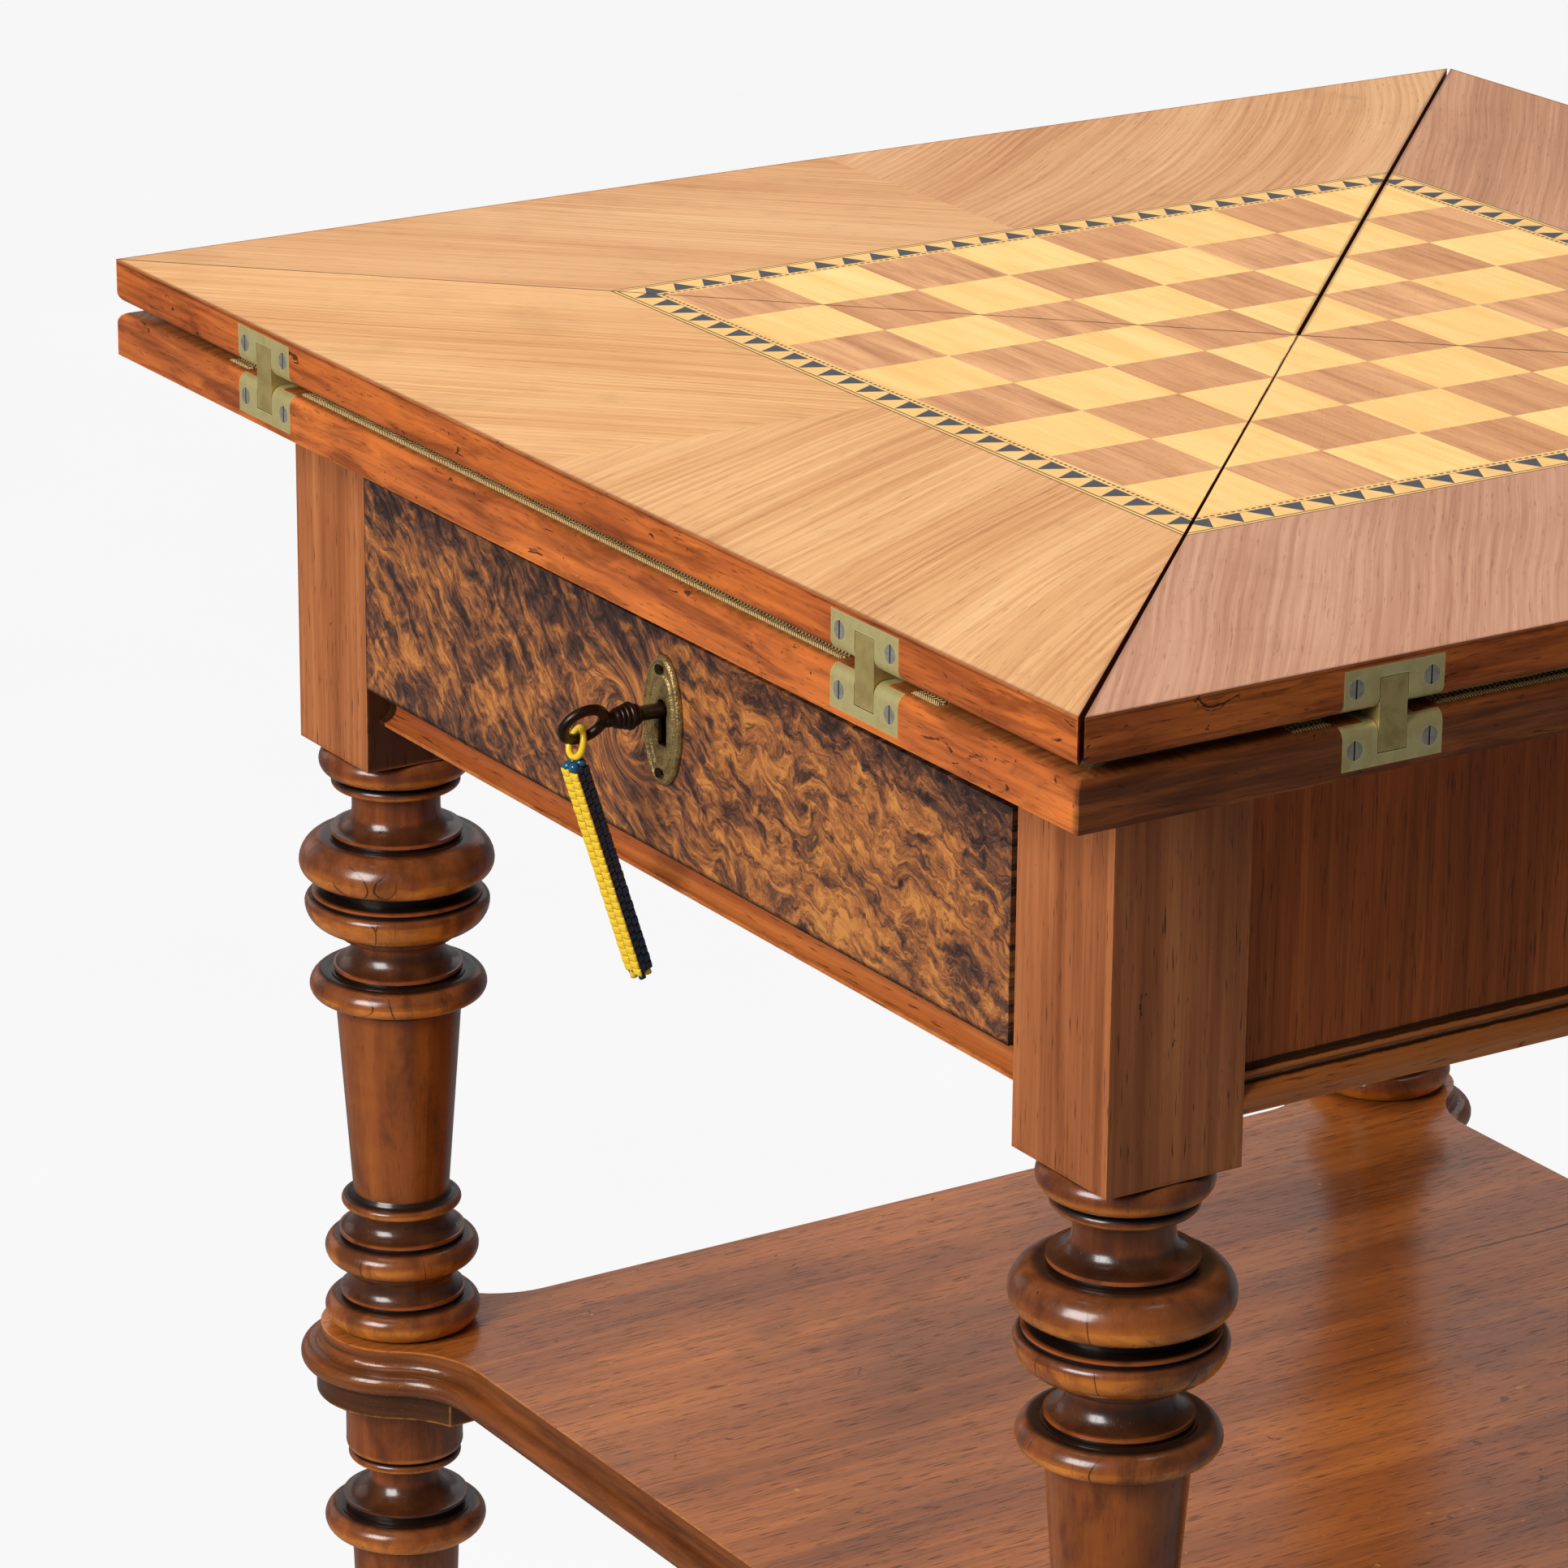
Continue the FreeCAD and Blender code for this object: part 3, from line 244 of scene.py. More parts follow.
def case_wood(name, axis, dark, mid, light, rough=0.32, coat=0.35, worn=0.6, seed=0.0, wear_col=(214, 138, 74), speck=0.66, spec=0.3, fine=1.0, dark_z=None, ends=None, share=(0.45, 0.42, 0.13), open_pores=0.55):
    """Polished solid wood of the frame, grain along one axis."""
    t = Tree(name)
    order = {"x": (t.x, t.y, t.z), "y": (t.y, t.x, t.z), "z": (t.z, t.x, t.y)}[axis]
    if axis == "r":
        order = (t.add(t.x, t.y), t.z, t.z)
    broad, streak, lines, pores = grain(t, *order, seed=seed, fine=fine)
    v = t.add(t.mul(broad, share[0]), t.mul(streak, share[1]), t.mul(lines, share[2]))
    col = t.ramp(v, [(0.30, lin(*dark)), (0.50, lin(*mid)), (0.68, lin(*light))])
    pore = t.rng(pores, 0.60, 0.72)
    col = t.mix(t.mul(pore, open_pores), col, lin(*[c * 0.42 for c in dark]))
    dent = marks(t, 9.0, speck, seed)
    col = t.mix(t.mul(dent, 0.75), col, lin(38, 20, 12))
    e = t.edge(0.0016)
    ragged = t.rng(t.noise(t.vec(t.mul(t.x, 0.12), t.mul(t.y, 0.12), t.mul(t.z, 0.12)), 4, 0.6), 0.36, 0.62)
    col = t.mix(t.mul(e, ragged, worn), col, lin(*wear_col))
    # darker in hollows by occlusion: dirt, with painted shade
    dirt_and_hollow_shade = t.rng(t.hollow(0.008), 0.15, 0.85, 0.85, 0.0)
    col = t.mix(dirt_and_hollow_shade, col, lin(24, 12, 8))
    if dark_z:
        # painted shade in the joint gaps at the given heights
        edge_z = t.add(t.z, t.mul(t.sub(ragged, 0.5), 0.2))
        col = t.mix(t.mul(t.bands(edge_z, dark_z, 0.5), 0.9), col, lin(14, 7, 5))
    # painted shadow on the rail ends beside the posts, below the bead (|x| beyond ends, z under 600)
    if ends:
        col = t.mix(t.mul(t.rng(t.m("ABSOLUTE", t.x), ends, ends + 1.2), t.rng(t.z, 600.0, 601.0, 0.9, 0.0)), col, lin(16, 8, 5))
    r = t.add(t.rng(streak, 0.3, 0.7, rough - 0.06, rough + 0.08), t.mul(pore, 0.12))
    h = t.add(t.mul(pore, -0.07), t.mul(lines, 0.03), t.mul(dent, -0.22))
    return t.finish(col, r, t.bump(h), coat=coat, coat_rough=0.16, spec=spec)


def turned_wood(name):
    """Legs: square post above, dark polished turning below."""
    t = Tree(name)
    sx = t.m("SIGN", t.x)
    sy = t.m("SIGN", t.y)
    lx = t.sub(t.m("ABSOLUTE", t.x), 224.8)
    ly = t.sub(t.m("ABSOLUTE", t.y), 224.8)
    seed = t.add(t.mul(sx, 13.7), t.mul(sy, 29.3))
    broad, streak, lines, pores = grain(t, t.z, t.x, t.y)
    # growth rings about a heart outside the post
    wob = t.noise(t.vec(t.mul(t.x, 0.02), t.mul(t.y, 0.02), t.mul(t.z, 0.006)), 3, 0.5)
    rr = t.m("SQRT", t.add(t.m("POWER", t.add(lx, 37.0), 2.0), t.m("POWER", t.add(ly, 21.0), 2.0)))
    ring = t.m("SINE", t.add(t.mul(rr, 0.62), t.mul(wob, 16.0), seed))
    ring = t.add(t.mul(ring, 0.5), 0.5)
    post = t.rng(t.z, 567.0, 571.0)
    v = t.add(t.mul(broad, 0.42), t.mul(streak, 0.42), t.mul(lines, 0.12), t.mul(ring, 0.04))
    TONE[:] = POST_TONE
    pc = t.ramp(v, [(0.32, lin(116, 59, 30)), (0.50, lin(160, 92, 54)), (0.67, lin(190, 118, 73))])
    TONE[:] = LEG_TONE
    v2 = t.add(t.mul(broad, 0.50), t.mul(streak, 0.38), t.mul(ring, 0.12))
    tcol = t.ramp(v2, [(0.30, lin(92, 43, 18)), (0.50, lin(134, 68, 28)), (0.70, lin(164, 90, 38))])
    # painted light: upward faces take a browner painted reflection tone, downward faces an amber painted bounce light
    nx, ny, nz = t.sep(t.tc.outputs["Normal"])
    drop = t.sub(740.0, t.z)
    upward_reflection_tone = t.ramp(v2, [(0.30, lin(104, 57, 33)), (0.70, lin(172, 101, 58))])
    tcol = t.mix(t.rng(nz, 0.10, 0.70, 0.0, 0.80), tcol, upward_reflection_tone)
    underside_bounce_amber = t.ramp(t.noise(t.vec(t.mul(t.x, 0.05), t.mul(t.y, 0.05), t.mul(t.z, 0.10)), 4, 0.6, 0.6), [(0.35, lin(172, 92, 30)), (0.65, lin(236, 146, 52))])
    bead = t.bands(drop, ((205.0, 219.6), (227.2, 239.0), (256.2, 265.6), (343.8, 348.6), (359.4, 369.2), (383.0, 392.4), (467.6, 478.0)), 1.0)
    # painted bounce light on downward faces and on the undersides of the beads
    gold = t.m("MAXIMUM", t.rng(nz, 0.05, -0.50, 0.0, 0.75), t.mul(bead, t.rng(nz, 0.45, -0.30, 0.0, 0.85)))
    tcol = t.mix(gold, tcol, underside_bounce_amber)
    mott = t.noise(t.vec(t.mul(t.x, 0.05), t.mul(t.y, 0.05), t.mul(t.z, 0.022)), 5, 0.62, 0.5)
    tcol = t.mix(t.rng(mott, 0.47, 0.66, 0.0, 0.60), tcol, lin(66, 32, 15))
    TONE[:] = [1.0, 1.0, 1.0]
    col = t.mix(post, tcol, pc)
    pore = t.rng(pores, 0.61, 0.73)
    col = t.mix(t.mul(pore, t.rng(post, 0.0, 1.0, 0.30, 0.75)), col, lin(52, 24, 12))
    # a few fine curved checks in the beads
    crack = t.cells(t.vec(t.mul(t.x, 0.042), t.mul(t.y, 0.042), t.mul(t.z, 0.012)), 1.0, "DISTANCE_TO_EDGE", "Distance")
    some = t.rng(t.noise(t.vec(t.mul(t.x, 0.03), t.mul(t.y, 0.03), t.mul(t.z, 0.02)), 2), 0.50, 0.56)
    crack = t.mul(t.rng(crack, 0.004, 0.010, 1.0, 0.0), some, t.bands(drop, ((206.5, 218.0), (228.0, 238.0), (257.5, 264.5), (360.5, 368.5)), 1.0), t.rng(nz, 0.9, 0.5))
    col = t.mix(t.mul(crack, 0.75), col, lin(26, 12, 8))
    dent = marks(t, 6.0, 0.715, 3.0)
    col = t.mix(t.mul(dent, 0.8), col, lin(30, 15, 9))
    # dark old polish in the grooves and coves, with painted shade in the hollows from the occlusion term
    deep = t.bands(drop, ((181.2, 183.0), (203.3, 204.4), (220.2, 224.7), (226.2, 226.8), (239.4, 240.0), (242.6, 243.2), (254.9, 255.8), (266.0, 268.0), (341.8, 343.3), (357.8, 358.9), (369.8, 370.2), (381.5, 382.5), (392.8, 394.0), (443.9, 444.8), (464.6, 467.2), (478.4, 479.6)), 0.9)
    cove = t.bands(drop, ((198.2, 201.6), (247.6, 253.3), (349.0, 356.3), (372.6, 380.0), (458.0, 463.0)), 2.6)
    cloud = t.rng(t.noise(t.vec(t.mul(t.x, 0.06), t.mul(t.y, 0.06), t.mul(t.z, 0.06)), 4, 0.6), 0.30, 0.68, 0.75, 1.0)
    ao = t.hollow(0.010)
    groove_dirt_and_shade = t.m("MAXIMUM", t.mul(deep, t.sub(1.0, post)), t.rng(ao, 0.25, 0.78, 0.9, 0.0))
    col = t.mix(t.mul(cove, t.sub(1.0, post), 0.80, cloud), col, lin(34, 18, 11))
    col = t.mix(t.mul(groove_dirt_and_shade, 0.96), col, lin(12, 6, 4))
    # painted shade on the faces of the posts that look inwards
    inward_face_shade = t.m("MAXIMUM", t.mul(sx, nx, -1.0), t.mul(sy, ny, -1.0))
    col = t.mix(t.mul(t.rng(inward_face_shade, 0.6, 0.8), post, 0.88), col, lin(40, 20, 13))
    # bright rubbed arrises
    arris = t.bands(drop, ((201.9, 203.0), (225.0, 225.7), (253.5, 254.5), (356.5, 357.4), (380.2, 381.1)), 0.25)
    rag2 = t.rng(t.noise(t.vec(t.mul(t.x, 0.07), t.mul(t.y, 0.07), t.mul(t.z, 0.02)), 3, 0.6), 0.34, 0.56, 0.35, 1.0)
    col = t.mix(t.mul(arris, rag2, 0.6), col, lin(188, 96, 36))
    e = t.edge(0.0013)
    ragged = t.rng(t.noise(t.vec(t.mul(t.x, 0.12), t.mul(t.y, 0.12), t.mul(t.z, 0.09)), 4, 0.6), 0.34, 0.60)
    col = t.mix(t.mul(e, ragged, post, 0.65), col, lin(206, 122, 58))
    r = t.add(t.rng(post, 0.0, 1.0, 0.26, 0.38), t.mul(pore, 0.12), t.mul(groove_dirt_and_shade, 0.22), t.rng(cloud, 0.75, 1.0, 0.0, 0.05))
    h = t.add(t.mul(pore, -0.05), t.mul(lines, 0.02), t.mul(dent, -0.2), t.mul(crack, -0.12))
    return t.finish(col, r, t.bump(h), coat=t.rng(post, 0.0, 1.0, 0.75, 0.0), coat_rough=0.18, spec=0.24)


def burr(name):
    """Burr veneer of the drawer front: flames on the left, curls and eyes on the right, in the x-z plane."""
    t = Tree(name)
    x, z = t.x, t.sub(t.z, 646.0)
    # eyes turn the figure round themselves
    for cx, cz, amount, size in ((-26, -8, 3.0, 13), (30, -30, -0.9, 8), (62, 8, 1.3, 8), (84, -4, -1.4, 9), (138, -12, -1.3, 8)):
        dx, dz = t.sub(x, float(cx)), t.sub(z, float(cz))
        r2 = t.add(t.mul(dx, dx), t.mul(dz, dz))
        a = t.mul(t.m("EXPONENT", t.mul(r2, -1.0 / (size * size))), float(amount))
        ca, sa = t.m("COSINE", a), t.m("SINE", a)
        x = t.add(t.sub(t.mul(dx, ca), t.mul(dz, sa)), float(cx))
        z = t.add(t.mul(dx, sa), t.mul(dz, ca), float(cz))
    right = t.rng(t.x, -10.0, 90.0)
    wx, wz, _ = t.sep(t.noise(t.vec(t.mul(x, 0.026), t.mul(z, 0.026), 3.1), 3, 0.5, 0.0, 1.0, True))
    vx, vz, _ = t.sep(t.noise(t.vec(t.mul(x, 0.095), t.mul(z, 0.095), 9.3), 4, 0.6, 0.0, 1.0, True))
    curl = t.rng(right, 0.0, 1.0, 7.0, 13.0)
    x2 = t.add(x, t.mul(t.sub(wx, 0.5), 18.0), t.mul(t.sub(vx, 0.5), curl))
    z2 = t.add(z, t.mul(t.sub(wz, 0.5), 18.0), t.mul(t.sub(vz, 0.5), curl))
    ang = t.rng(t.x, -60.0, 110.0, -0.76, -0.30)
    ca, sa = t.m("COSINE", ang), t.m("SINE", ang)
    u = t.add(t.mul(x2, ca), t.mul(z2, sa))
    v = t.sub(t.mul(z2, ca), t.mul(x2, sa))
    flame = t.noise(t.vec(t.mul(u, 0.050), t.mul(v, 0.24), 0.0), 5, 0.64, 0.5)
    fibre = t.noise(t.vec(t.mul(u, 0.12), t.mul(v, 1.05), 4.0), 5, 0.70, 0.4)
    hair = t.noise(t.vec(t.mul(u, 0.25), t.mul(v, 2.9), 8.0), 3, 0.65, 0.3)
    patch = t.noise(t.vec(t.mul(x2, 0.085), t.mul(z2, 0.11), 15.0), 5, 0.66, 1.1)
    big = t.noise(t.vec(t.mul(t.x, 0.016), t.mul(t.z, 0.026), 21.0), 3, 0.5, 0.4)
    # greyer along the top and at the right end, golden right of the lock
    shade = t.add(t.rng(t.z, 652.0, 678.0, 0.010, -0.045), t.rng(t.x, -40.0, 50.0, -0.008, 0.014), t.rng(t.x, 150.0, 197.0, 0.0, -0.030), t.mul(t.sub(big, 0.5), 0.16))
    f = t.add(t.mul(flame, 0.40), t.mul(patch, 0.38), t.mul(fibre, 0.22), shade)
    col = t.ramp(f, [(0.40, lin(48, 31, 24)), (0.46, lin(92, 57, 37)), (0.50, lin(138, 81, 42)), (0.54, lin(182, 106, 46)), (0.60, lin(218, 138, 58))])
    dark = t.rng(t.noise(t.vec(t.mul(u, 0.06), t.mul(v, 0.60), 33.0), 5, 0.7, 0.8), 0.565, 0.65)
    col = t.mix(t.mul(dark, 0.62), col, lin(48, 35, 30))
    col = t.mix(t.rng(hair, 0.52, 0.70, 0.0, 0.32), col, lin(62, 38, 24))
    col = t.mix(t.rng(hair, 0.46, 0.30, 0.0, 0.14), col, lin(222, 146, 70))
    # eyes: rings round small knots
    for cx, cz, size in ((-26, -8, 11), (84, -4, 6), (138, -12, 5)):
        dx, dz = t.sub(t.x, float(cx)), t.sub(t.z, 646.0 + cz)
        rr = t.m("SQRT", t.add(t.mul(dx, dx), t.mul(dz, dz, 1.4)))
        wob = t.mul(t.sub(vx, 0.5), 7.0)
        rings = t.m("SINE", t.mul(t.add(rr, wob), 1.9))
        near = t.rng(rr, size * 0.35, float(size), 1.0, 0.0)
        col = t.mix(t.mul(t.rng(rings, 0.1, 0.9, 0.0, 0.5), near), col, lin(58, 38, 28))
        col = t.mix(t.mul(t.rng(rr, 1.0, 3.0, 0.8, 0.0), 1.0), col, lin(40, 26, 20))
    # a dark vein runs down right of the lock
    vein = t.m("ABSOLUTE", t.sub(t.add(t.x, t.mul(t.sub(wz, 0.5), 26.0)), t.rng(t.z, 600.0, 678.0, 40.0, 26.0)))
    col = t.mix(t.mul(t.rng(vein, 0.3, 2.4, 0.55, 0.0), t.rng(fibre, 0.35, 0.6)), col, lin(38, 26, 21))
    # painted shade inside the keyhole
    keyhole_shade = t.mul(t.gt(t.y, -249.2), t.gt(4.0, t.m("ABSOLUTE", t.x)), t.gt(t.z, 636.0), t.gt(656.0, t.z))
    col = t.mix(keyhole_shade, col, lin(10, 7, 5))
    ends = t.edge(0.0012)
    col = t.mix(t.mul(ends, 0.5), col, lin(60, 34, 20))
    # painted shade along the lower edge, over the bead
    col = t.mix(t.rng(t.add(t.z, t.mul(t.sub(fibre, 0.5), 2.0)), 600.6, 602.6, 0.92, 0.0), col, lin(16, 9, 6))
    r = t.rng(flame, 0.3, 0.7, 0.26, 0.36)
    return t.finish(col, r, t.bump(t.add(t.mul(fibre, 0.03), t.mul(hair, -0.03))), coat=0.08, coat_rough=0.2, spec=0.28)


def edge_layers(t, along, across, seed=0.0):
    """Red-brown edge of the leaves and the base board with its dents."""
    broad = t.noise(t.vec(t.mul(along, 0.012), t.mul(across, 0.05), seed), 4, 0.55, 0.5)
    streak = t.noise(t.vec(t.mul(along, 0.020), t.mul(across, 0.42), t.add(seed, 5.0)), 5, 0.6, 0.5)
    pores = t.noise(t.vec(t.mul(along, 0.12), t.mul(across, 1.2), t.add(seed, 9.0)), 2, 0.5)
    v = t.add(t.mul(broad, 0.55), t.mul(streak, 0.45))
    col = t.ramp(v, [(0.30, lin(104, 48, 26)), (0.47, lin(160, 82, 44)), (0.60, lin(186, 100, 50)), (0.74, lin(206, 124, 64))])
    pore = t.rng(pores, 0.60, 0.72)
    col = t.mix(t.mul(pore, 0.62), col, lin(62, 27, 15))
    stain = t.noise(t.vec(t.mul(along, 0.020), t.mul(across, 0.13), t.add(seed, 23.0)), 4, 0.6, 0.8)
    col = t.mix(t.rng(stain, 0.46, 0.66, 0.0, 0.66), col, lin(96, 42, 20))
    dent = t.m("MAXIMUM",
               t.rng(t.noise(t.vec(t.mul(along, 0.075), t.mul(across, 0.20), t.add(seed, 17.0)), 4, 0.65, 1.0), 0.650, 0.69),
               t.rng(t.noise(t.vec(t.mul(along, 0.30), t.mul(across, 0.45), t.add(seed, 27.0)), 3, 0.6, 0.6), 0.695, 0.73))
    col = t.mix(t.mul(dent, 0.85), col, lin(34, 17, 11))
    return col, pore, dent, streak


def leaf_veneer(name):
    """Top of the leaves: quartered veneer, inlaid border and chessboard; solid edge below."""
    t = Tree(name)
    x, y, z = t.x, t.y, t.z
    ax, ay = t.m("ABSOLUTE", x), t.m("ABSOLUTE", y)
    m = t.m("MAXIMUM", ax, ay)
    px, py, lr = t.gt(x, 0.0), t.gt(y, 0.0), t.gt(ax, ay)
    s = t.sub(t.mul(t.gt(t.mul(x, y), 0.0), 2.0), 1.0)
    n_px, n_lr, n_py = t.sub(1.0, px), t.sub(1.0, lr), t.sub(1.0, py)
    fr, rf = t.mul(n_lr, n_py, px), t.mul(lr, px, n_py)
    lb, bl = t.mul(lr, n_px, py), t.mul(n_lr, py, n_px)
    turn = t.add(
        t.mul(fr, t.add(t.mul(x, 0.00085), 0.385)), t.mul(rf, 0.89),
        t.mul(lb, t.add(t.mul(y, 0.0009), 0.61)), t.mul(bl, 0.87), t.mul(t.gt(s, 0.0), -0.785))
    x0 = t.sub(x, t.add(t.mul(fr, 150.0), t.mul(rf, 235.0), t.mul(lb, -235.0), t.mul(bl, -150.0)))
    y0 = t.sub(y, t.add(t.mul(fr, -235.0), t.mul(rf, -150.0), t.mul(lb, 150.0), t.mul(bl, 235.0)))
    ct, st = t.m("COSINE", turn), t.m("SINE", turn)
    g = t.sub(t.mul(y0, ct), t.mul(x0, st))
    c = t.add(t.mul(x0, ct), t.mul(y0, st))
    seed = t.add(t.mul(px, 17.3), t.mul(py, 41.7), t.mul(lr, 73.1))
    bend = t.mul(t.sub(t.noise(t.vec(t.mul(g, 0.004), t.mul(c, 0.008), seed), 2), 0.5), 16.0)
    cb = t.add(c, bend)
    broad = t.noise(t.vec(t.mul(g, 0.003), t.mul(cb, 0.022), seed), 3, 0.5, 0.3)
    bands = t.noise(t.vec(t.mul(g, 0.0035), t.mul(cb, 0.20), seed), 3, 0.6, 0.15)
    streak = t.noise(t.vec(t.mul(g, 0.009), t.mul(cb, 1.10), seed), 4, 0.68)
    pores = t.noise(t.vec(t.mul(g, 0.08), t.mul(cb, 1.25), seed), 2, 0.5)
    wav = t.noise(t.vec(t.mul(g, 0.012), t.mul(cb, 0.05), seed), 3, 0.55)
    rings = t.m("SINE", t.add(t.mul(cb, 1.75), t.mul(wav, 11.0)))
    clear = t.rng(t.noise(t.vec(t.mul(g, 0.006), t.mul(cb, 0.03), t.add(seed, 5.0)), 2), 0.35, 0.65, 0.006, 0.036)
    v = t.add(t.mul(broad, 0.36), t.mul(bands, 0.22), t.mul(streak, 0.42), t.mul(rings, clear))
    TONE[:] = [0.97, 0.97, 0.98]
    gold = t.ramp(v, [(0.34, lin(188, 124, 74)), (0.46, lin(220, 160, 102)), (0.56, lin(236, 182, 124)), (0.68, lin(248, 202, 144))])
    brown = t.ramp(v, [(0.30, lin(154, 103, 77)), (0.46, lin(184, 131, 103)), (0.56, lin(199, 147, 118)), (0.72, lin(214, 165, 136))])
    TONE[:] = [1.0, 1.0, 1.0]
    share = t.add(
        t.mul(n_lr, n_py, px, 0.10),
        t.mul(n_lr, py, t.sub(0.80, t.mul(px, 0.15))),
        t.mul(lr, px, t.sub(0.96, t.mul(py, 0.44))),
        t.mul(lr, t.sub(1.0, px), t.add(t.mul(py, 0.12), 0.24)))
    ven = t.mix(share, gold, brown)
    pore = t.rng(pores, 0.61, 0.74)
    ven = t.mix(t.mul(pore, 0.34), ven, lin(120, 72, 42))
    worn = t.rng(t.noise(t.vec(t.mul(x, 0.016), t.mul(y, 0.016), 2.0), 4, 0.6), 0.52, 0.72)
    ven = t.mix(t.mul(worn, 0.16), ven, lin(150, 96, 62))
    # squares
    i = t.m("FLOOR", t.mul(t.add(x, 154.4), 1 / 38.6))
    j = t.m("FLOOR", t.mul(t.add(y, 154.4), 1 / 38.6))
    odd = t.m("MODULO", t.add(i, j, 32.0), 2.0)
    sq_seed = t.add(t.mul(i, 7.31), t.mul(j, 3.77))
    sb = t.noise(t.vec(t.mul(x, 0.012), t.mul(y, 0.12), sq_seed), 3, 0.55, 0.5)
    ss = t.noise(t.vec(t.mul(x, 0.03), t.mul(y, 0.8), sq_seed), 4, 0.6)
    sv = t.add(t.mul(sb, 0.6), t.mul(ss, 0.4))
    tone = t.noise(t.vec(t.mul(i, 3.7), t.mul(j, 5.9), 1.5), 0)
    lightc = t.ramp(sv, [(0.30, lin(244, 186, 110)), (0.52, lin(254, 208, 132)), (0.72, lin(255, 222, 154))])
    TONE[:] = [0.97, 0.98, 1.02]
    darkc = t.ramp(sv, [(0.28, lin(166, 108, 66)), (0.46, lin(212, 152, 103)), (0.60, lin(234, 174, 120)), (0.74, lin(246, 190, 136))])
    TONE[:] = [1.0, 1.0, 1.0]
    lightc = t.mix(t.rng(tone, 0.35, 0.7, 0.0, 0.35), lightc, lin(242, 184, 110))
    darkc = t.mix(t.rng(tone, 0.35, 0.7, 0.0, 0.40), darkc, lin(196, 134, 86))
    sp = t.rng(t.noise(t.vec(t.mul(x, 0.16), t.mul(y, 2.0), sq_seed), 2), 0.62, 0.74)
    darkc = t.mix(t.mul(sp, 0.4), darkc, lin(86, 48, 30))
    board = t.mix(odd, darkc, lightc)
    # border, by the distance d from its outer edge
    d = t.sub(169.0, m)
    run = t.add(t.mul(lr, y), t.mul(n_lr, x))
    cell = t.m("FRACT", t.mul(t.add(run, 162.0), 28.0 / 324.0))
    q = t.rng(d, 2.4, 11.2, 0.0, 1.0, smooth=False)
    band = t.mul(t.gt(d, 2.4), t.gt(11.2, d))
    # dog teeth: base on the inner edge, point at the outer edge
    tri = t.mul(t.gt(t.mul(q, 0.79), t.m("ABSOLUTE", t.sub(t.mul(cell, 2.0), 1.0))), band)
    cream = t.ramp(sv, [(0.3, lin(236, 182, 108)), (0.7, lin(248, 204, 134))])
    ink = lin(74, 76, 82)
    bor = t.mix(tri, cream, ink)
    rule = t.add(t.mul(t.gt(0.7, d), t.gt(d, 0.0)), t.mul(t.gt(d, 1.6), t.gt(2.3, d)), t.mul(t.gt(d, 11.2), t.gt(11.45, d)))
    bor = t.mix(t.mul(rule, 0.85), bor, lin(74, 50, 34))
    dash = t.mul(t.gt(d, 12.5), t.gt(13.5, d), t.gt(t.m("FRACT", t.mul(run, 1 / 2.6)), 0.38))
    bor = t.mix(t.mul(dash, 0.9), bor, lin(58, 40, 30))
    top = t.mix(t.gt(m, 154.6), board, bor)
    top = t.mix(t.gt(m, 169.0), top, ven)
    grime = t.rng(t.noise(t.vec(t.mul(x, 0.045), t.mul(y, 0.045), 7.0), 5, 0.65), 0.60, 0.74)
    top = t.mix(t.mul(grime, 0.14), top, lin(110, 66, 38))
    # painted shade beside the seams where the leaves gape, a fine dark joint line elsewhere along the seams, and darker
    # along the outer edge
    seam = t.m("ABSOLUTE", t.sub(ax, ay))
    seam_gap_shade = t.mul(t.gt(0.0, s), t.m("MAXIMUM", t.gt(0.0, x), t.rng(m, 165.0, 290.0)))
    top = t.mix(t.mul(t.rng(seam, 1.2, 3.4, 0.55, 0.0), seam_gap_shade), top, lin(96, 54, 30))
    top = t.mix(t.mul(t.rng(t.add(seam, t.mul(t.sub(bands, 0.5), 1.2)), 0.3, 1.1, 0.75, 0.0), t.sub(1.0, seam_gap_shade)), top, lin(84, 48, 28))
    rim = t.sub(295.0, m)
    top = t.mix(t.rng(rim, 0.0, 1.6, 0.7, 0.0), top, lin(120, 62, 32))
    # edges and underside
    along = t.add(x, y)
    TONE[:] = EDGE_TONE
    ecol, epore, dent, estreak = edge_layers(t, along, z, 3.0)
    TONE[:] = [1.0, 1.0, 1.0]
    glue = t.mul(t.rng(z, 738.2, 738.8), t.rng(z, 739.0, 739.6, 1.0, 0.0))
    ecol = t.mix(t.mul(glue, 0.5), ecol, lin(52, 26, 16))
    # painted shade on the edge faces inside the seams
    inner = t.rng(seam, 0.6, 3.0, 1.0, 0.0)
    ecol = t.mix(t.mul(inner, t.rng(rim, 1.0, 3.0), 0.8), ecol, lin(30, 16, 10))
    up = t.rng(z, 739.55, 739.8)
    col = t.mix(up, ecol, top)
    ed = t.edge(0.0012)
    rag = t.rng(t.noise(t.vec(t.mul(x, 0.10), t.mul(y, 0.10), t.mul(z, 0.10)), 4, 0.6), 0.38, 0.6)
    col = t.mix(t.mul(ed, rag, t.sub(1.0, up), 0.5), col, lin(214, 134, 74))
    r = t.add(t.rng(up, 0.0, 1.0, 0.34, 0.42), t.mul(pore, 0.08), t.rng(streak, 0.3, 0.7, -0.03, 0.05))
    h = t.add(t.mul(pore, up, -0.04), t.mul(streak, up, 0.02), t.mul(dent, t.sub(1.0, up), -0.25), t.mul(epore, t.sub(1.0, up), -0.05))
    return t.finish(col, r, t.bump(h), coat_rough=0.30, spec=0.10)


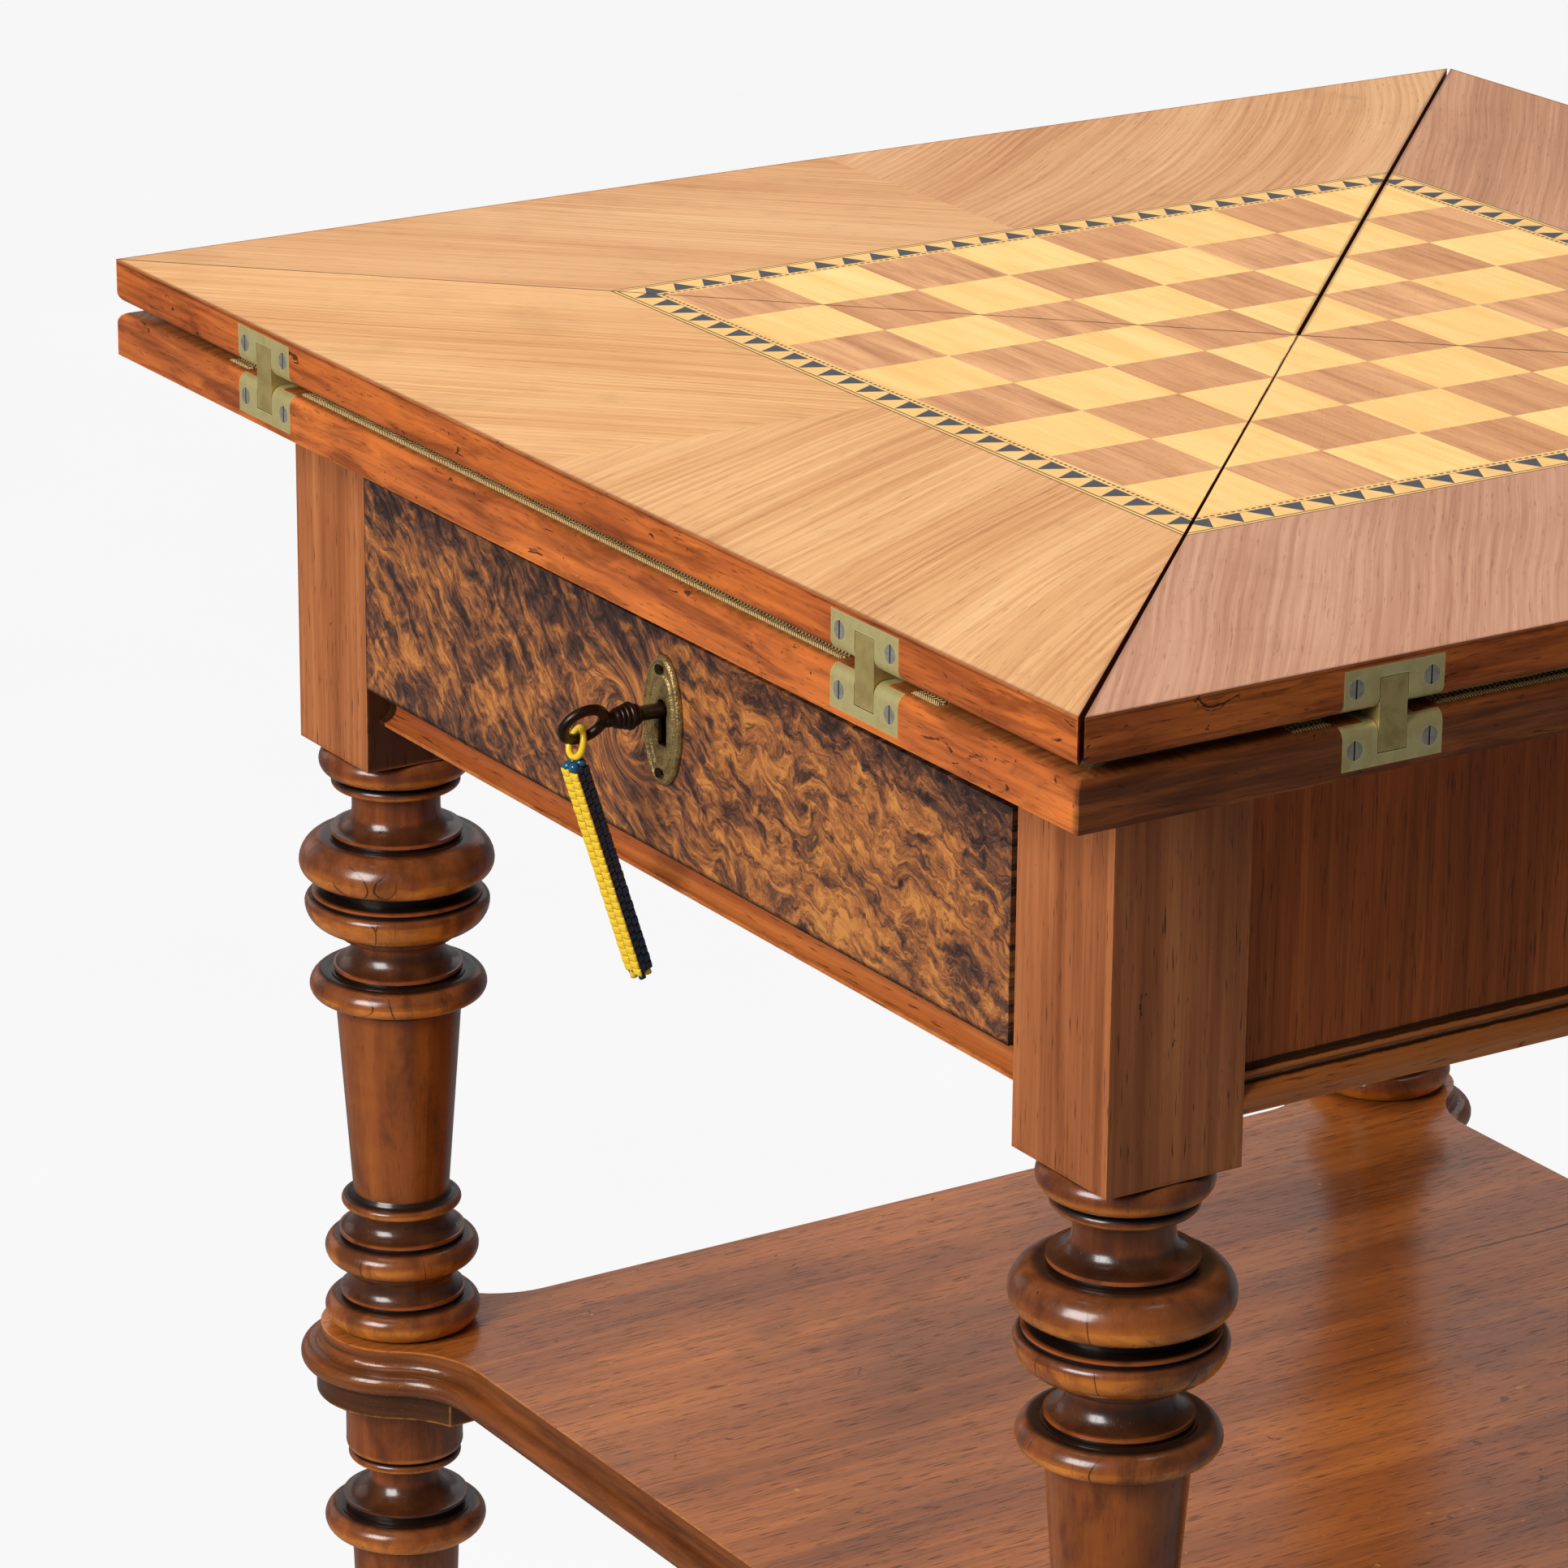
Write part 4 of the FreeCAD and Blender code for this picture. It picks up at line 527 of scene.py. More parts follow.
def base_wood(name):
    t = Tree(name)
    along = t.add(t.x, t.y)
    col, pore, dent, streak = edge_layers(t, along, t.z, 31.0)
    ax, ay = t.m("ABSOLUTE", t.x), t.m("ABSOLUTE", t.y)
    m = t.m("MAXIMUM", ax, ay)
    up = t.rng(t.z, 720.2, 720.9)
    lr = t.gt(ax, ay)
    run = t.add(t.mul(lr, t.y), t.mul(t.sub(1.0, lr), t.x))
    acr = t.add(t.mul(lr, t.x), t.mul(t.sub(1.0, lr), t.y))
    cross = t.noise(t.vec(t.mul(run, 0.5), t.mul(acr, 0.03), 4.0), 4, 0.6)
    tcol = t.ramp(cross, [(0.3, lin(96, 50, 28)), (0.7, lin(150, 88, 50))])
    col = t.mix(up, col, tcol)
    # darker in hollows by occlusion: dirt, with painted shade
    dirt_and_hollow_shade = t.rng(t.hollow(0.010), 0.2, 0.9, 0.7, 0.0)
    col = t.mix(dirt_and_hollow_shade, col, lin(28, 14, 9))
    e = t.edge(0.0014)
    rag = t.rng(t.noise(t.vec(t.mul(t.x, 0.1), t.mul(t.y, 0.1), t.mul(t.z, 0.1)), 4, 0.6), 0.38, 0.6)
    col = t.mix(t.mul(e, rag, 0.30), col, lin(220, 132, 66))
    # painted shade on the right-hand (+x) edge face of the base
    right_edge_shade = t.mul(t.rng(t.x, 291.0, 294.5), t.rng(streak, 0.3, 0.7, 0.85, 0.60))
    col = t.mix(right_edge_shade, col, lin(60, 29, 12))
    r = t.add(t.rng(streak, 0.3, 0.7, 0.30, 0.42), t.mul(pore, 0.1))
    h = t.add(t.mul(dent, -0.25), t.mul(pore, -0.05))
    return t.finish(col, r, t.bump(h), coat=0.06, coat_rough=0.2, spec=0.3)


def shelf_wood(name):
    t = Tree(name)
    broad, streak, lines, pores = grain(t, t.y, t.x, t.z, 11.0)
    wav = t.noise(t.vec(t.mul(t.x, 0.012), t.mul(t.y, 0.006), 2.0), 3, 0.5, 0.4)
    v = t.add(t.mul(broad, 0.40), t.mul(streak, 0.28), t.mul(lines, 0.14), t.mul(wav, 0.18))
    col = t.ramp(v, [(0.34, lin(84, 43, 24)), (0.50, lin(132, 76, 45)), (0.64, lin(166, 102, 62))])
    dash = t.rng(pores, 0.58, 0.69)
    col = t.mix(t.mul(dash, 0.70), col, lin(36, 18, 10))
    blot = t.noise(t.vec(t.mul(t.x, 0.011), t.mul(t.y, 0.007), 6.0), 4, 0.6, 0.6)
    col = t.mix(t.rng(blot, 0.50, 0.70, 0.0, 0.45), col, lin(74, 40, 24))
    fleck = t.rng(t.noise(t.vec(t.mul(t.x, 0.17), t.mul(t.y, 0.12), 14.0), 2, 0.5), 0.735, 0.765)
    col = t.mix(t.mul(fleck, 0.6), col, lin(176, 128, 84))
    stain = marks(t, 8.0, 0.700, 8.0)
    col = t.mix(t.mul(stain, 0.7), col, lin(40, 24, 18))
    # an old shake along the grain
    off = t.m("ABSOLUTE", t.add(t.x, 69.6, t.mul(t.sub(t.noise(t.vec(t.mul(t.y, 0.03), 3.0, 0.0), 3), 0.5), 3.0)))
    shake = t.mul(t.rng(off, 0.25, 0.85, 1.0, 0.0), t.rng(t.y, 90.0, 190.0, 0.0, 0.9), t.rng(t.y, 225.0, 240.0, 1.0, 0.0))
    col = t.mix(shake, col, lin(26, 15, 10))
    step = t.rng(t.z, 345.2, 345.8)
    nose = t.ramp(t.noise(t.vec(t.mul(t.x, 0.02), t.mul(t.y, 0.02), t.mul(t.z, 0.3)), 4, 0.6), [(0.3, lin(52, 26, 16)), (0.7, lin(102, 56, 34))])
    col = t.mix(step, nose, col)
    # painted shade on the underside of the shelf and its pads, below z 334
    col = t.mix(t.rng(t.z, 328.5, 334.0, 0.72, 0.0), col, lin(22, 11, 7))
    # darker in hollows by occlusion: dirt, with painted shade
    groove_dirt_and_shade = t.rng(t.hollow(0.010), 0.25, 0.85, 1.0, 0.0)
    col = t.mix(t.mul(groove_dirt_and_shade, 0.85), col, lin(18, 10, 7))
    e = t.edge(0.0014)
    rag = t.rng(t.noise(t.vec(t.mul(t.x, 0.1), t.mul(t.y, 0.1), t.mul(t.z, 0.1)), 4, 0.6), 0.36, 0.6)
    col = t.mix(t.mul(e, rag, 0.45), col, lin(190, 120, 70))
    r = t.add(t.rng(wav, 0.3, 0.7, 0.20, 0.30), t.mul(dash, 0.14), t.mul(groove_dirt_and_shade, 0.2))
    h = t.add(t.mul(dash, -0.06), t.mul(lines, 0.02), t.mul(stain, -0.08), t.mul(shake, -0.2))
    return t.finish(col, r, t.bump(h), coat=0.42, coat_rough=0.15, spec=0.36)


def inner_wood(name):
    t = Tree(name)
    broad, streak, lines, pores = grain(t, t.y, t.x, t.z, 5.0)
    v = t.add(t.mul(broad, 0.5), t.mul(streak, 0.35), t.mul(lines, 0.15))
    col = t.ramp(v, [(0.3, lin(138, 98, 62)), (0.5, lin(176, 132, 88)), (0.7, lin(198, 156, 108))])
    col = t.mix(t.mul(t.rng(pores, 0.6, 0.72), 0.4), col, lin(96, 64, 40))
    worn = t.rng(t.noise(t.vec(t.mul(t.x, 0.02), t.mul(t.y, 0.02), t.mul(t.z, 0.02)), 4, 0.6), 0.5, 0.75)
    col = t.mix(t.mul(worn, 0.35), col, lin(108, 76, 50))
    return t.finish(col, t.rng(streak, 0.3, 0.7, 0.55, 0.7), t.bump(t.add(t.mul(lines, 0.06), t.mul(streak, 0.05))))


# ------------------------------------------------------------------ metals
def metal(name, base, tarnish, rough, amount=0.45, scratch=0.02, speck=None, size=7.0, sheen=1.0):
    t = Tree(name)
    cloud = t.noise(t.vec(t.mul(t.x, 1 / size), t.mul(t.y, 1 / size), t.mul(t.z, 1 / size)), 5, 0.62, 0.3)
    col = t.mix(t.rng(cloud, 0.38, 0.68, 0.0, amount), lin(*base), lin(*tarnish))
    brush = t.noise(t.vec(t.mul(t.add(t.x, t.y), 0.25), t.mul(t.z, 5.0), 1.0), 3, 0.6)
    # darker in hollows by occlusion: tarnish, with painted shade
    dirt_and_hollow_shade = t.rng(t.hollow(0.003), 0.2, 0.85, 0.75, 0.0)
    col = t.mix(dirt_and_hollow_shade, col, lin(*[c * 0.25 for c in tarnish]))
    h = t.add(t.mul(brush, scratch), t.mul(cloud, 0.03))
    if speck:
        pits = t.cells(t.vec(t.mul(t.x, 1.3), t.mul(t.y, 1.3), t.mul(t.z, 1.3)), 1.0)
        pit = t.rng(pits, 0.15, 0.55, 1.0, 0.0)
        grainy = t.rng(t.noise(t.vec(t.mul(t.x, 0.9), t.mul(t.y, 0.9), t.mul(t.z, 0.9)), 4, 0.65), 0.40, 0.62)
        col = t.mix(t.mul(pit, grainy, 0.8), col, lin(*speck))
        h = t.add(h, t.mul(pits, 0.18))
    # lighter along the edges: a painted highlight, with the brass rubbed bright there
    e = t.edge(0.0006)
    col = t.mix(t.mul(e, 0.5), col, lin(*[min(255, c * 1.22) for c in base]))
    r = t.add(t.rng(cloud, 0.35, 0.7, rough - 0.05, rough + 0.10), t.mul(dirt_and_hollow_shade, 0.2))
    return t.finish(col, r, t.bump(h), metal=sheen)


# ------------------------------------------------------------------ plastics and cloth
def lace(name, base, dark, shine=0.22):
    t = Tree(name)
    cloud = t.noise(t.vec(t.mul(t.x, 0.6), t.mul(t.y, 0.6), t.mul(t.z, 0.6)), 4, 0.6)
    col = t.mix(t.rng(cloud, 0.45, 0.75, 0.0, 0.35), lin(*base), lin(*dark))
    # darker in the creases by occlusion: painted shade between the stitches, with some dirt
    dirt_and_hollow_shade = t.rng(t.hollow(0.0010), 0.10, 0.68, 0.85, 0.0)
    col = t.mix(dirt_and_hollow_shade, col, lin(*[c * 0.25 for c in dark]))
    r = t.rng(cloud, 0.3, 0.7, shine, shine + 0.14)
    return t.finish(col, r, t.bump(t.mul(cloud, 0.05)), coat=0.3, coat_rough=0.1)


def baize(name):
    t = Tree(name)
    nap = t.noise(t.vec(t.mul(t.x, 2.2), t.mul(t.y, 2.2), t.mul(t.z, 2.2)), 4, 0.7)
    fib = t.noise(t.vec(t.mul(t.x, 0.9), t.mul(t.y, 4.0), t.mul(t.z, 2.0)), 3, 0.6)
    worn = t.noise(t.vec(t.mul(t.x, 0.010), t.mul(t.y, 0.010), t.mul(t.z, 0.01)), 5, 0.6)
    col = t.ramp(t.add(t.mul(nap, 0.6), t.mul(fib, 0.4)), [(0.3, lin(26, 66, 42)), (0.5, lin(40, 92, 60)), (0.7, lin(58, 112, 76))])
    col = t.mix(t.rng(worn, 0.5, 0.72, 0.0, 0.4), col, lin(92, 116, 78))
    return t.finish(col, t.rng(nap, 0.3, 0.7, 0.86, 0.98), t.bump(t.add(t.mul(nap, 0.3), t.mul(fib, 0.2))), spec=0.15, Sheen_Weight=0.4)


def gilt_braid(name):
    """Woven braid: u runs along it in millimetres, v across."""
    t = Tree(name)
    u, v, _ = t.sep(t.tc.outputs["UV"])
    chev = t.m("FRACT", t.add(t.mul(u, 0.55), t.mul(t.m("ABSOLUTE", t.sub(v, 4.5)), 0.42)))
    thread = t.rng(t.m("ABSOLUTE", t.sub(chev, 0.5)), 0.12, 0.42, 1.0, 0.0)
    twist = t.m("FRACT", t.add(t.mul(u, 0.95), t.mul(v, 0.8)))
    cord = t.rng(t.m("ABSOLUTE", t.sub(twist, 0.5)), 0.10, 0.45, 1.0, 0.0)
    side = t.rng(t.m("ABSOLUTE", t.sub(v, 4.5)), 2.6, 3.0)
    h = t.add(t.mul(thread, t.sub(1.0, side)), t.mul(cord, side))
    fuzz = t.noise(t.vec(t.mul(t.x, 1.6), t.mul(t.y, 1.6), t.mul(t.z, 1.6)), 4, 0.65)
    # darker in the low parts of the weave: painted shade between the threads
    col = t.ramp(h, [(0.05, lin(96, 68, 36)), (0.5, lin(190, 152, 90)), (1.0, lin(240, 208, 142))])
    col = t.mix(t.rng(fuzz, 0.5, 0.72, 0.0, 0.4), col, lin(140, 114, 72))
    return t.finish(col, t.rng(h, 0.0, 1.0, 0.75, 0.48), t.bump(t.add(t.mul(h, 0.35), t.mul(fuzz, 0.15))), spec=0.4)


# ------------------------------------------------------------------ give the CAD nodes their finish
POST_TONE = [1.12, 1.20, 1.12]
LEG_TONE = [0.88, 0.84, 0.74]
EDGE_TONE = [1.28, 1.30, 1.00]
M = {
    "leg": turned_wood("leg_wood"),
    "apron_z": tone((3.2, 2.85, 1.5), case_wood, "apron_upright", "z", (54, 25, 16), (94, 49, 29), (122, 68, 42), rough=0.38, coat=0.0, wear_col=(190, 112, 60), spec=0.16, speck=0.74, share=(0.42, 0.36, 0.22), open_pores=0.5, dark_z=((599.0, 600.4),)),
    "rail_x": tone((0.95, 0.86, 0.74), case_wood, "rail_grain", "x", (104, 48, 24), (170, 92, 46), (206, 128, 70), rough=0.30, coat=0.15, seed=7.0, wear_col=(236, 164, 92), speck=0.70, open_pores=0.75, dark_z=((596.9, 599.4),), ends=195.5),
    "mould_r": tone((1.25, 1.15, 0.85), case_wood, "mould_grain", "y", (104, 54, 28), (156, 90, 46), (184, 116, 64), rough=0.30, coat=0.1, seed=3.0, wear_col=(214, 138, 74), speck=0.72, dark_z=((594.5, 595.1), (598.6, 599.6))),
    "burr": tone((0.84, 0.94, 1.34), burr, "burr_veneer"),
    "leaf": leaf_veneer("leaf_veneer"),
    "base": tone((1.38, 1.42, 1.00), base_wood, "base_wood"),
    "shelf": tone((2.3, 2.15, 1.05), shelf_wood, "shelf_wood"),
    "inner": inner_wood("inner_wood"),
    "hinge": metal("hinge_brass", (216, 202, 140), (178, 158, 96), 0.40, 0.45, 0.03, sheen=0.55),
    "link": metal("link_brass", (196, 174, 112), (150, 126, 74), 0.40, 0.55, 0.03, sheen=0.55),
    "screw": metal("screw_steel", (180, 174, 162), (122, 114, 100), 0.40, 0.55, 0.02, size=2.5, sheen=0.6),
    "pivot": metal("pivot_steel", (140, 138, 134), (84, 78, 70), 0.42, 0.5, 0.02),
    "aged": metal("aged_brass", (172, 146, 92), (104, 84, 48), 0.42, 0.75, 0.02, speck=(50, 38, 22), size=4.0, sheen=0.6),
    "pins": metal("pin_brass", (72, 60, 46), (40, 33, 26), 0.45, 0.6, 0.02, size=2.0),
    "key": metal("key_iron", (66, 52, 44), (34, 26, 22), 0.30, 0.7, 0.02, size=3.0, sheen=0.8),
    "yellow": lace("lace_yellow", (246, 204, 44), (226, 172, 28)),
    "blue": lace("lace_blue", (20, 54, 82), (10, 28, 46), 0.18),
    "teal": lace("lace_teal", (20, 88, 118), (10, 50, 76), 0.16),
    "baize": baize("baize_green"),
    "braid": gilt_braid("gilt_braid"),
}
for n in N:
    if n.startswith("leg_") or n.startswith("lower_leg_"):
        assign(M["leg"], n)
    elif n.endswith("_hinge_plates") or n == "lock_case":
        assign(M["hinge"], n)
    elif n.startswith("links_"):
        assign(M["link"], n)
    elif n.endswith("_hinge_screws"):
        assign(M["screw"], n)
    elif n.endswith("_panel"):
        assign(M["leaf"], n)
    elif n.endswith("_baize"):
        assign(M["baize"], n)
assign(M["shelf"], "shelf", "shelf_pads")
assign(M["apron_z"], "side_rail_left", "side_rail_right", "back_rail")
assign(M["rail_x"], "front_top_rail", "front_bottom_rail")
assign(M["mould_r"], "rail_mouldings")
assign(M["inner"], "drawer_runners", "pivot_bearer", "drawer_bottom", "drawer_side_left", "drawer_side_right", "drawer_back")
assign(M["base"], "base_top")
assign(M["burr"], "drawer_front")
assign(M["pivot"], "pivot_bolt", "lock_bolt")
assign(M["aged"], "escutcheon")
assign(M["pins"], "escutcheon_pins")
assign(M["key"], "key")
assign(M["yellow"], "key_loop")
assign(M["blue"], "fob")


# ------------------------------------------------------------------ mesh helpers
def mesh_object(name, verts, faces, mat, body, slot, smooth=True, uvs=None):
    me = bpy.data.meshes.new(name)
    me.from_pydata([tuple(v) for v in verts], [], faces)
    if uvs is not None:
        layer = me.uv_layers.new(name="UVMap")
        for poly in me.polygons:
            for li in poly.loop_indices:
                layer.data[li].uv = uvs[me.loops[li].vertex_index]
    bm = bmesh.new()
    bm.from_mesh(me)
    bmesh.ops.recalc_face_normals(bm, faces=bm.faces)
    bm.to_mesh(me)
    bm.free()
    me.update()
    if smooth:
        for p in me.polygons:
            p.use_smooth = True
    o = bpy.data.objects.new(name, me)
    scene.collection.objects.link(o)
    me.materials.append(mat)
    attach(o, body)
    return o


def tube_rings(rings, closed=False, caps=True):
    """Faces that join rings of equal length."""
    n, k = len(rings[0]), len(rings)
    verts = [v for r in rings for v in r]
    faces = []
    for i in range(k if closed else k - 1):
        a, b = i * n, ((i + 1) % k) * n
        for j in range(n):
            q = (j + 1) % n
            faces.append((a + j, a + q, b + q, b + j))
    if caps and not closed:
        faces.append(tuple(reversed(range(n))))
        faces.append(tuple(range((k - 1) * n, k * n)))
    return verts, faces


MM = 0.001
FRONT_Y = -249.5
KEY_Z = 650.5

# ------------------------------------------------------------------ key
BOW_TURN = math.radians(59.0)
U = Vector((math.cos(BOW_TURN), 0, math.sin(BOW_TURN)))        # across the bow, in its plane
W = Vector((-math.sin(BOW_TURN), 0, math.cos(BOW_TURN)))       # square to the bow
profile = [
    (-14.0, 0.05), (-14.0, 2.1), (-13.4, 2.5), (0.0, 2.5), (9.6, 2.5), (10.2, 2.9), (10.6, 3.5), (11.4, 3.7), (12.0, 3.5),
    (12.3, 3.1), (12.6, 3.7), (13.0, 4.5), (13.7, 4.75), (14.4, 4.5), (14.7, 3.6), (15.0, 4.0), (15.5, 4.25), (16.0, 4.0),
    (16.3, 3.2), (16.6, 3.6), (17.1, 3.8), (17.6, 3.6), (17.9, 2.9), (18.2, 3.2), (18.7, 3.4), (19.2, 3.2), (19.6, 2.7),
    (20.6, 2.5), (22.0, 2.5), (23.0, 2.2), (23.4, 0.05)]
rings = []
for d, r in profile:
    rings.append([Vector((r * math.cos(a), FRONT_Y - d, KEY_Z + r * math.sin(a))) * MM for a in [2 * math.pi * i / 32 for i in range(32)]])
kv, kf = tube_rings(rings)
# bow: a flat oval ring with rounded edges
ring = []
steps, sec = 72, 20
for i in range(steps):
    a = 2 * math.pi * i / steps
    ca, sa = math.cos(a), math.sin(a)
    ctr = Vector((0, FRONT_Y - 30.6, KEY_Z)) + Vector((0, -1, 0)) * (7.3 * ca) + U * (6.75 * sa)
    out = (Vector((0, -1, 0)) * (ca / 7.3) + U * (sa / 6.75)).normalized()
    row = []
    for j in range(sec):
        b = 2 * math.pi * j / sec
        cb, sb = math.cos(b), math.sin(b)
        row.append((ctr + out * (1.8 * math.copysign(abs(cb) ** 0.62, cb)) + W * (1.35 * math.copysign(abs(sb) ** 0.62, sb))) * MM)
    ring.append(row)
rv, rf = tube_rings(ring, closed=True)
off = len(kv)
kv += rv
kf += [tuple(i + off for i in f) for f in rf]
# bit inside the lock, and its stub
bx, by = -U, -W
off = len(kv)
y0, y1 = FRONT_Y + 8.0 + 2.4, FRONT_Y + 8.0 + 7.4
for (du, yy) in ((1.0, y0), (11.0, y0), (11.0, y0 + 1.6), (9.4, y0 + 1.6), (9.4, y0 + 3.2), (11.0, y0 + 3.2), (11.0, y1), (1.0, y1)):
    for sgn in (-1, 1):
        kv.append((Vector((0, yy, KEY_Z)) + bx * du + by * (0.95 * sgn)) * MM)
kf += [(off + 2 * i, off + 2 * ((i + 1) % 8), off + 2 * ((i + 1) % 8) + 1, off + 2 * i + 1) for i in range(8)]
kf.append(tuple(off + 2 * i for i in range(8)))
kf.append(tuple(off + 2 * i + 1 for i in reversed(range(8))))
key = mesh_object("key_turned", kv, kf, M["key"], "key", "key_iron")
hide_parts("key")

# ------------------------------------------------------------------ escutcheon: rim, pebbled field, ridge round the keyhole
CZ = 646.8
A_, B_ = 22.1, 11.2
prof = [(1.000, 0.00), (1.000, 0.75), (0.985, 1.25), (0.955, 1.75), (0.915, 2.10), (0.885, 2.15), (0.865, 1.95), (0.845, 1.55), (0.80, 1.45),
        (0.72, 1.45), (0.66, 1.48), (0.615, 1.55), (0.59, 1.95), (0.555, 2.20), (0.52, 2.20), (0.49, 1.95), (0.47, 1.60), (0.42, 1.55), (0.30, 1.50), (0.0, 1.50), (0.0, 0.0)]


def keyhole(a):
    """Edge of the keyhole seen from its middle, at angle a."""
    d = Vector((math.cos(a), math.sin(a)))
    best = 0.0
    for k in range(1, 1300):
        r = k * 0.01
        px, pz = d.x * r, 646.2 + d.y * r
        in_round = px * px + (pz - KEY_Z) ** 2 <= 3.5 ** 2
        in_slot = abs(px) <= 3.0 and 638.0 <= pz <= KEY_Z
        if in_round or in_slot:
            best = r
        else:
            break
    return best


rows = []
steps = 128
for s, h in prof:
    row = []
    for i in range(steps):
        a = 2 * math.pi * i / steps
        e = Vector((B_ * math.cos(a), 0, A_ * math.sin(a) + CZ))
        kr = keyhole(a)
        k = Vector((kr * math.cos(a), 0, 646.2 + kr * math.sin(a)))
        p = k.lerp(e, s)
        row.append(Vector((p.x, FRONT_Y - h, p.z)) * MM)
    rows.append(row)
ev, ef = tube_rings(rows, closed=True)
esc = mesh_object("escutcheon_plate", ev, ef, M["aged"], "drawer", "aged_brass")
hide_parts("escutcheon")

# ------------------------------------------------------------------ fob: box-stitched lace
LOOP_LEAN, BAR_LEAN = math.radians(-17.6), math.radians(18.15)


def lean(v, a):
    return Matrix.Rotation(a, 3, "X") @ v


hang = Vector((0, FRONT_Y - 30.6, KEY_Z)) + U * -6.9
neck = hang + lean(Vector((0, 0, -1)), LOOP_LEAN) * 6.9
axis_d = lean(Vector((0, 0, -1)), BAR_LEAN)
FOB_TURN = Matrix.Rotation(math.radians(-16.0), 3, axis_d)
axis_x = FOB_TURN @ Vector((1, 0, 0))
axis_y = FOB_TURN @ lean(Vector((0, 1, 0)), BAR_LEAN)
LEN, HALF = 83.1, 3.4


def brick(width, height, depth):
    """A pillow: flat back at 0, crowned front at depth; in (across, along, out)."""
    verts, faces = [], []
    at = (-1.0, -0.94, -0.74, -0.3, 0.3, 0.74, 0.94, 1.0)
    k, seg = len(at), len(at) - 1
    for s in at:
        for q in at:
            crown = (1 - abs(s) ** 6) ** 0.5 * (1 - abs(q) ** 5) ** 0.5
            verts.append((s * width / 2, q * height / 2, depth * (0.30 + 0.70 * crown)))
    for i in range(seg):
        for j in range(seg):
            faces.append((i * k + j, (i + 1) * k + j, (i + 1) * k + j + 1, i * k + j + 1))
    edge = [i * k for i in range(k)] + [seg * k + j for j in range(1, k)] + [i * k + seg for i in range(seg - 1, -1, -1)] + [j for j in range(seg - 1, 0, -1)]
    off = len(verts)
    for e in edge:
        verts.append((verts[e][0], verts[e][1], 0.0))
    n = len(edge)
    for i in range(n):
        q = (i + 1) % n
        faces.append((edge[i], edge[q], off + q, off + i))
    faces.append(tuple(range(off + n - 1, off - 1, -1)))
    return verts, faces


def wobble(i, j, k):
    return math.sin(i * 12.9898 + j * 78.233 + k * 37.719) * 0.5


rows_n = 27
pitch = (LEN - 5.2) / rows_n
sets = {"yellow": ([], []), "blue": ([], [])}
for face, (outw, across, colour, left, right) in enumerate((
        (-axis_y, axis_x, "yellow", -3.4, 3.4), (axis_x, axis_y, "blue", -2.5, 3.4),
        (axis_y, -axis_x, "yellow", -2.5, 2.5), (-axis_x, -axis_y, "blue", -3.4, 2.5))):
    V_, F_ = sets[colour]
    half_w = (right - left) / 2
    bv, bf = brick(half_w * 1.01, pitch * 0.985, 0.95)
    for rr in range(rows_n):
        for cc in range(2):
            along = 2.6 + pitch * (rr + 0.5 + (0.25 if cc else -0.25))
            mid = neck + axis_d * along + across * ((left + right) / 2 + (cc - 0.5) * half_w) + outw * (HALF - 0.95)
            tilt = wobble(rr, cc, face) * 0.08 + (0.05 if cc else -0.05)
            ct, st = math.cos(tilt), math.sin(tilt)
            push = wobble(cc, rr, face + 5) * 0.18 - 0.09
            off = len(V_)
            for a, b, d in bv:
                a2, b2 = a * ct - b * st, a * st + b * ct
                V_.append((mid + across * a2 + axis_d * b2 + outw * (d + push if d > 0 else d)) * MM)
            F_ += [tuple(i + off for i in f) for f in bf]
# dark core between the stitches
V_, F_ = sets["blue"]
core = []
for along in (1.6, 3.0, LEN * 0.5, LEN - 3.0, LEN - 1.8):
    w = 2.1 if along in (1.6, LEN - 1.8) else 2.62
    core.append([(neck + axis_d * along + axis_x * (sx * w) + axis_y * (sy * w)) * MM for sx, sy in ((-1, -1), (0, -1.04), (1, -1), (1.04, 0), (1, 1), (0, 1.04), (-1, 1), (-1.04, 0))])
cv, cf = tube_rings(core)
off = len(V_)
V_ += cv
F_ += [tuple(i + off for i in f) for f in cf]


def lace_tube(V_, F_, points, r, n=12, hollow=False):
    """A round lace along a few points; hollow ends show its bore."""
    rows = []
    for i, p in enumerate(points):
        d = (points[min(i + 1, len(points) - 1)] - points[max(i - 1, 0)]).normalized()
        s = d.cross(Vector((0.3, 0.9, 0.2))).normalized()
        q = d.cross(s)
        rows.append([(p + s * (r * math.cos(2 * math.pi * k / n)) + q * (r * math.sin(2 * math.pi * k / n))) * MM for k in range(n)])
    if hollow:
        p = points[-1]
        d = (points[-1] - points[-2]).normalized()
        s = d.cross(Vector((0.3, 0.9, 0.2))).normalized()
        q = d.cross(s)
        for rad, back in ((r * 0.55, 0.0), (r * 0.5, 1.3)):
            rows.append([(p - d * back + s * (rad * math.cos(2 * math.pi * k / n)) + q * (rad * math.sin(2 * math.pi * k / n))) * MM for k in range(n)])
    v, f = tube_rings(rows)
    off = len(V_)
    V_ += v
    F_ += [tuple(i + off for i in x) for x in f]


end = neck + axis_d * (LEN - 2.9)
for colour, sx, sy in (("yellow", -1.55, -1.5), ("blue", 1.6, -1.4), ("yellow", 1.5, 1.55), ("blue", -1.5, 1.5)):
    a = end + axis_x * sx + axis_y * sy
    V_, F_ = sets[colour]
    lace_tube(V_, F_, [a - axis_d * 1.0, a + axis_d * 0.6 + axis_x * sx * 0.05, a + axis_d * 1.7 + axis_x * sx * 0.12, a + axis_d * 2.7 + axis_x * sx * 0.18], 1.22, hollow=True)
yellow = mesh_object("fob_yellow", *sets["yellow"], M["yellow"], "fob", "lace_yellow")
blue = mesh_object("fob_blue", *sets["blue"], M["blue"], "fob", "lace_blue")
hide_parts("fob")
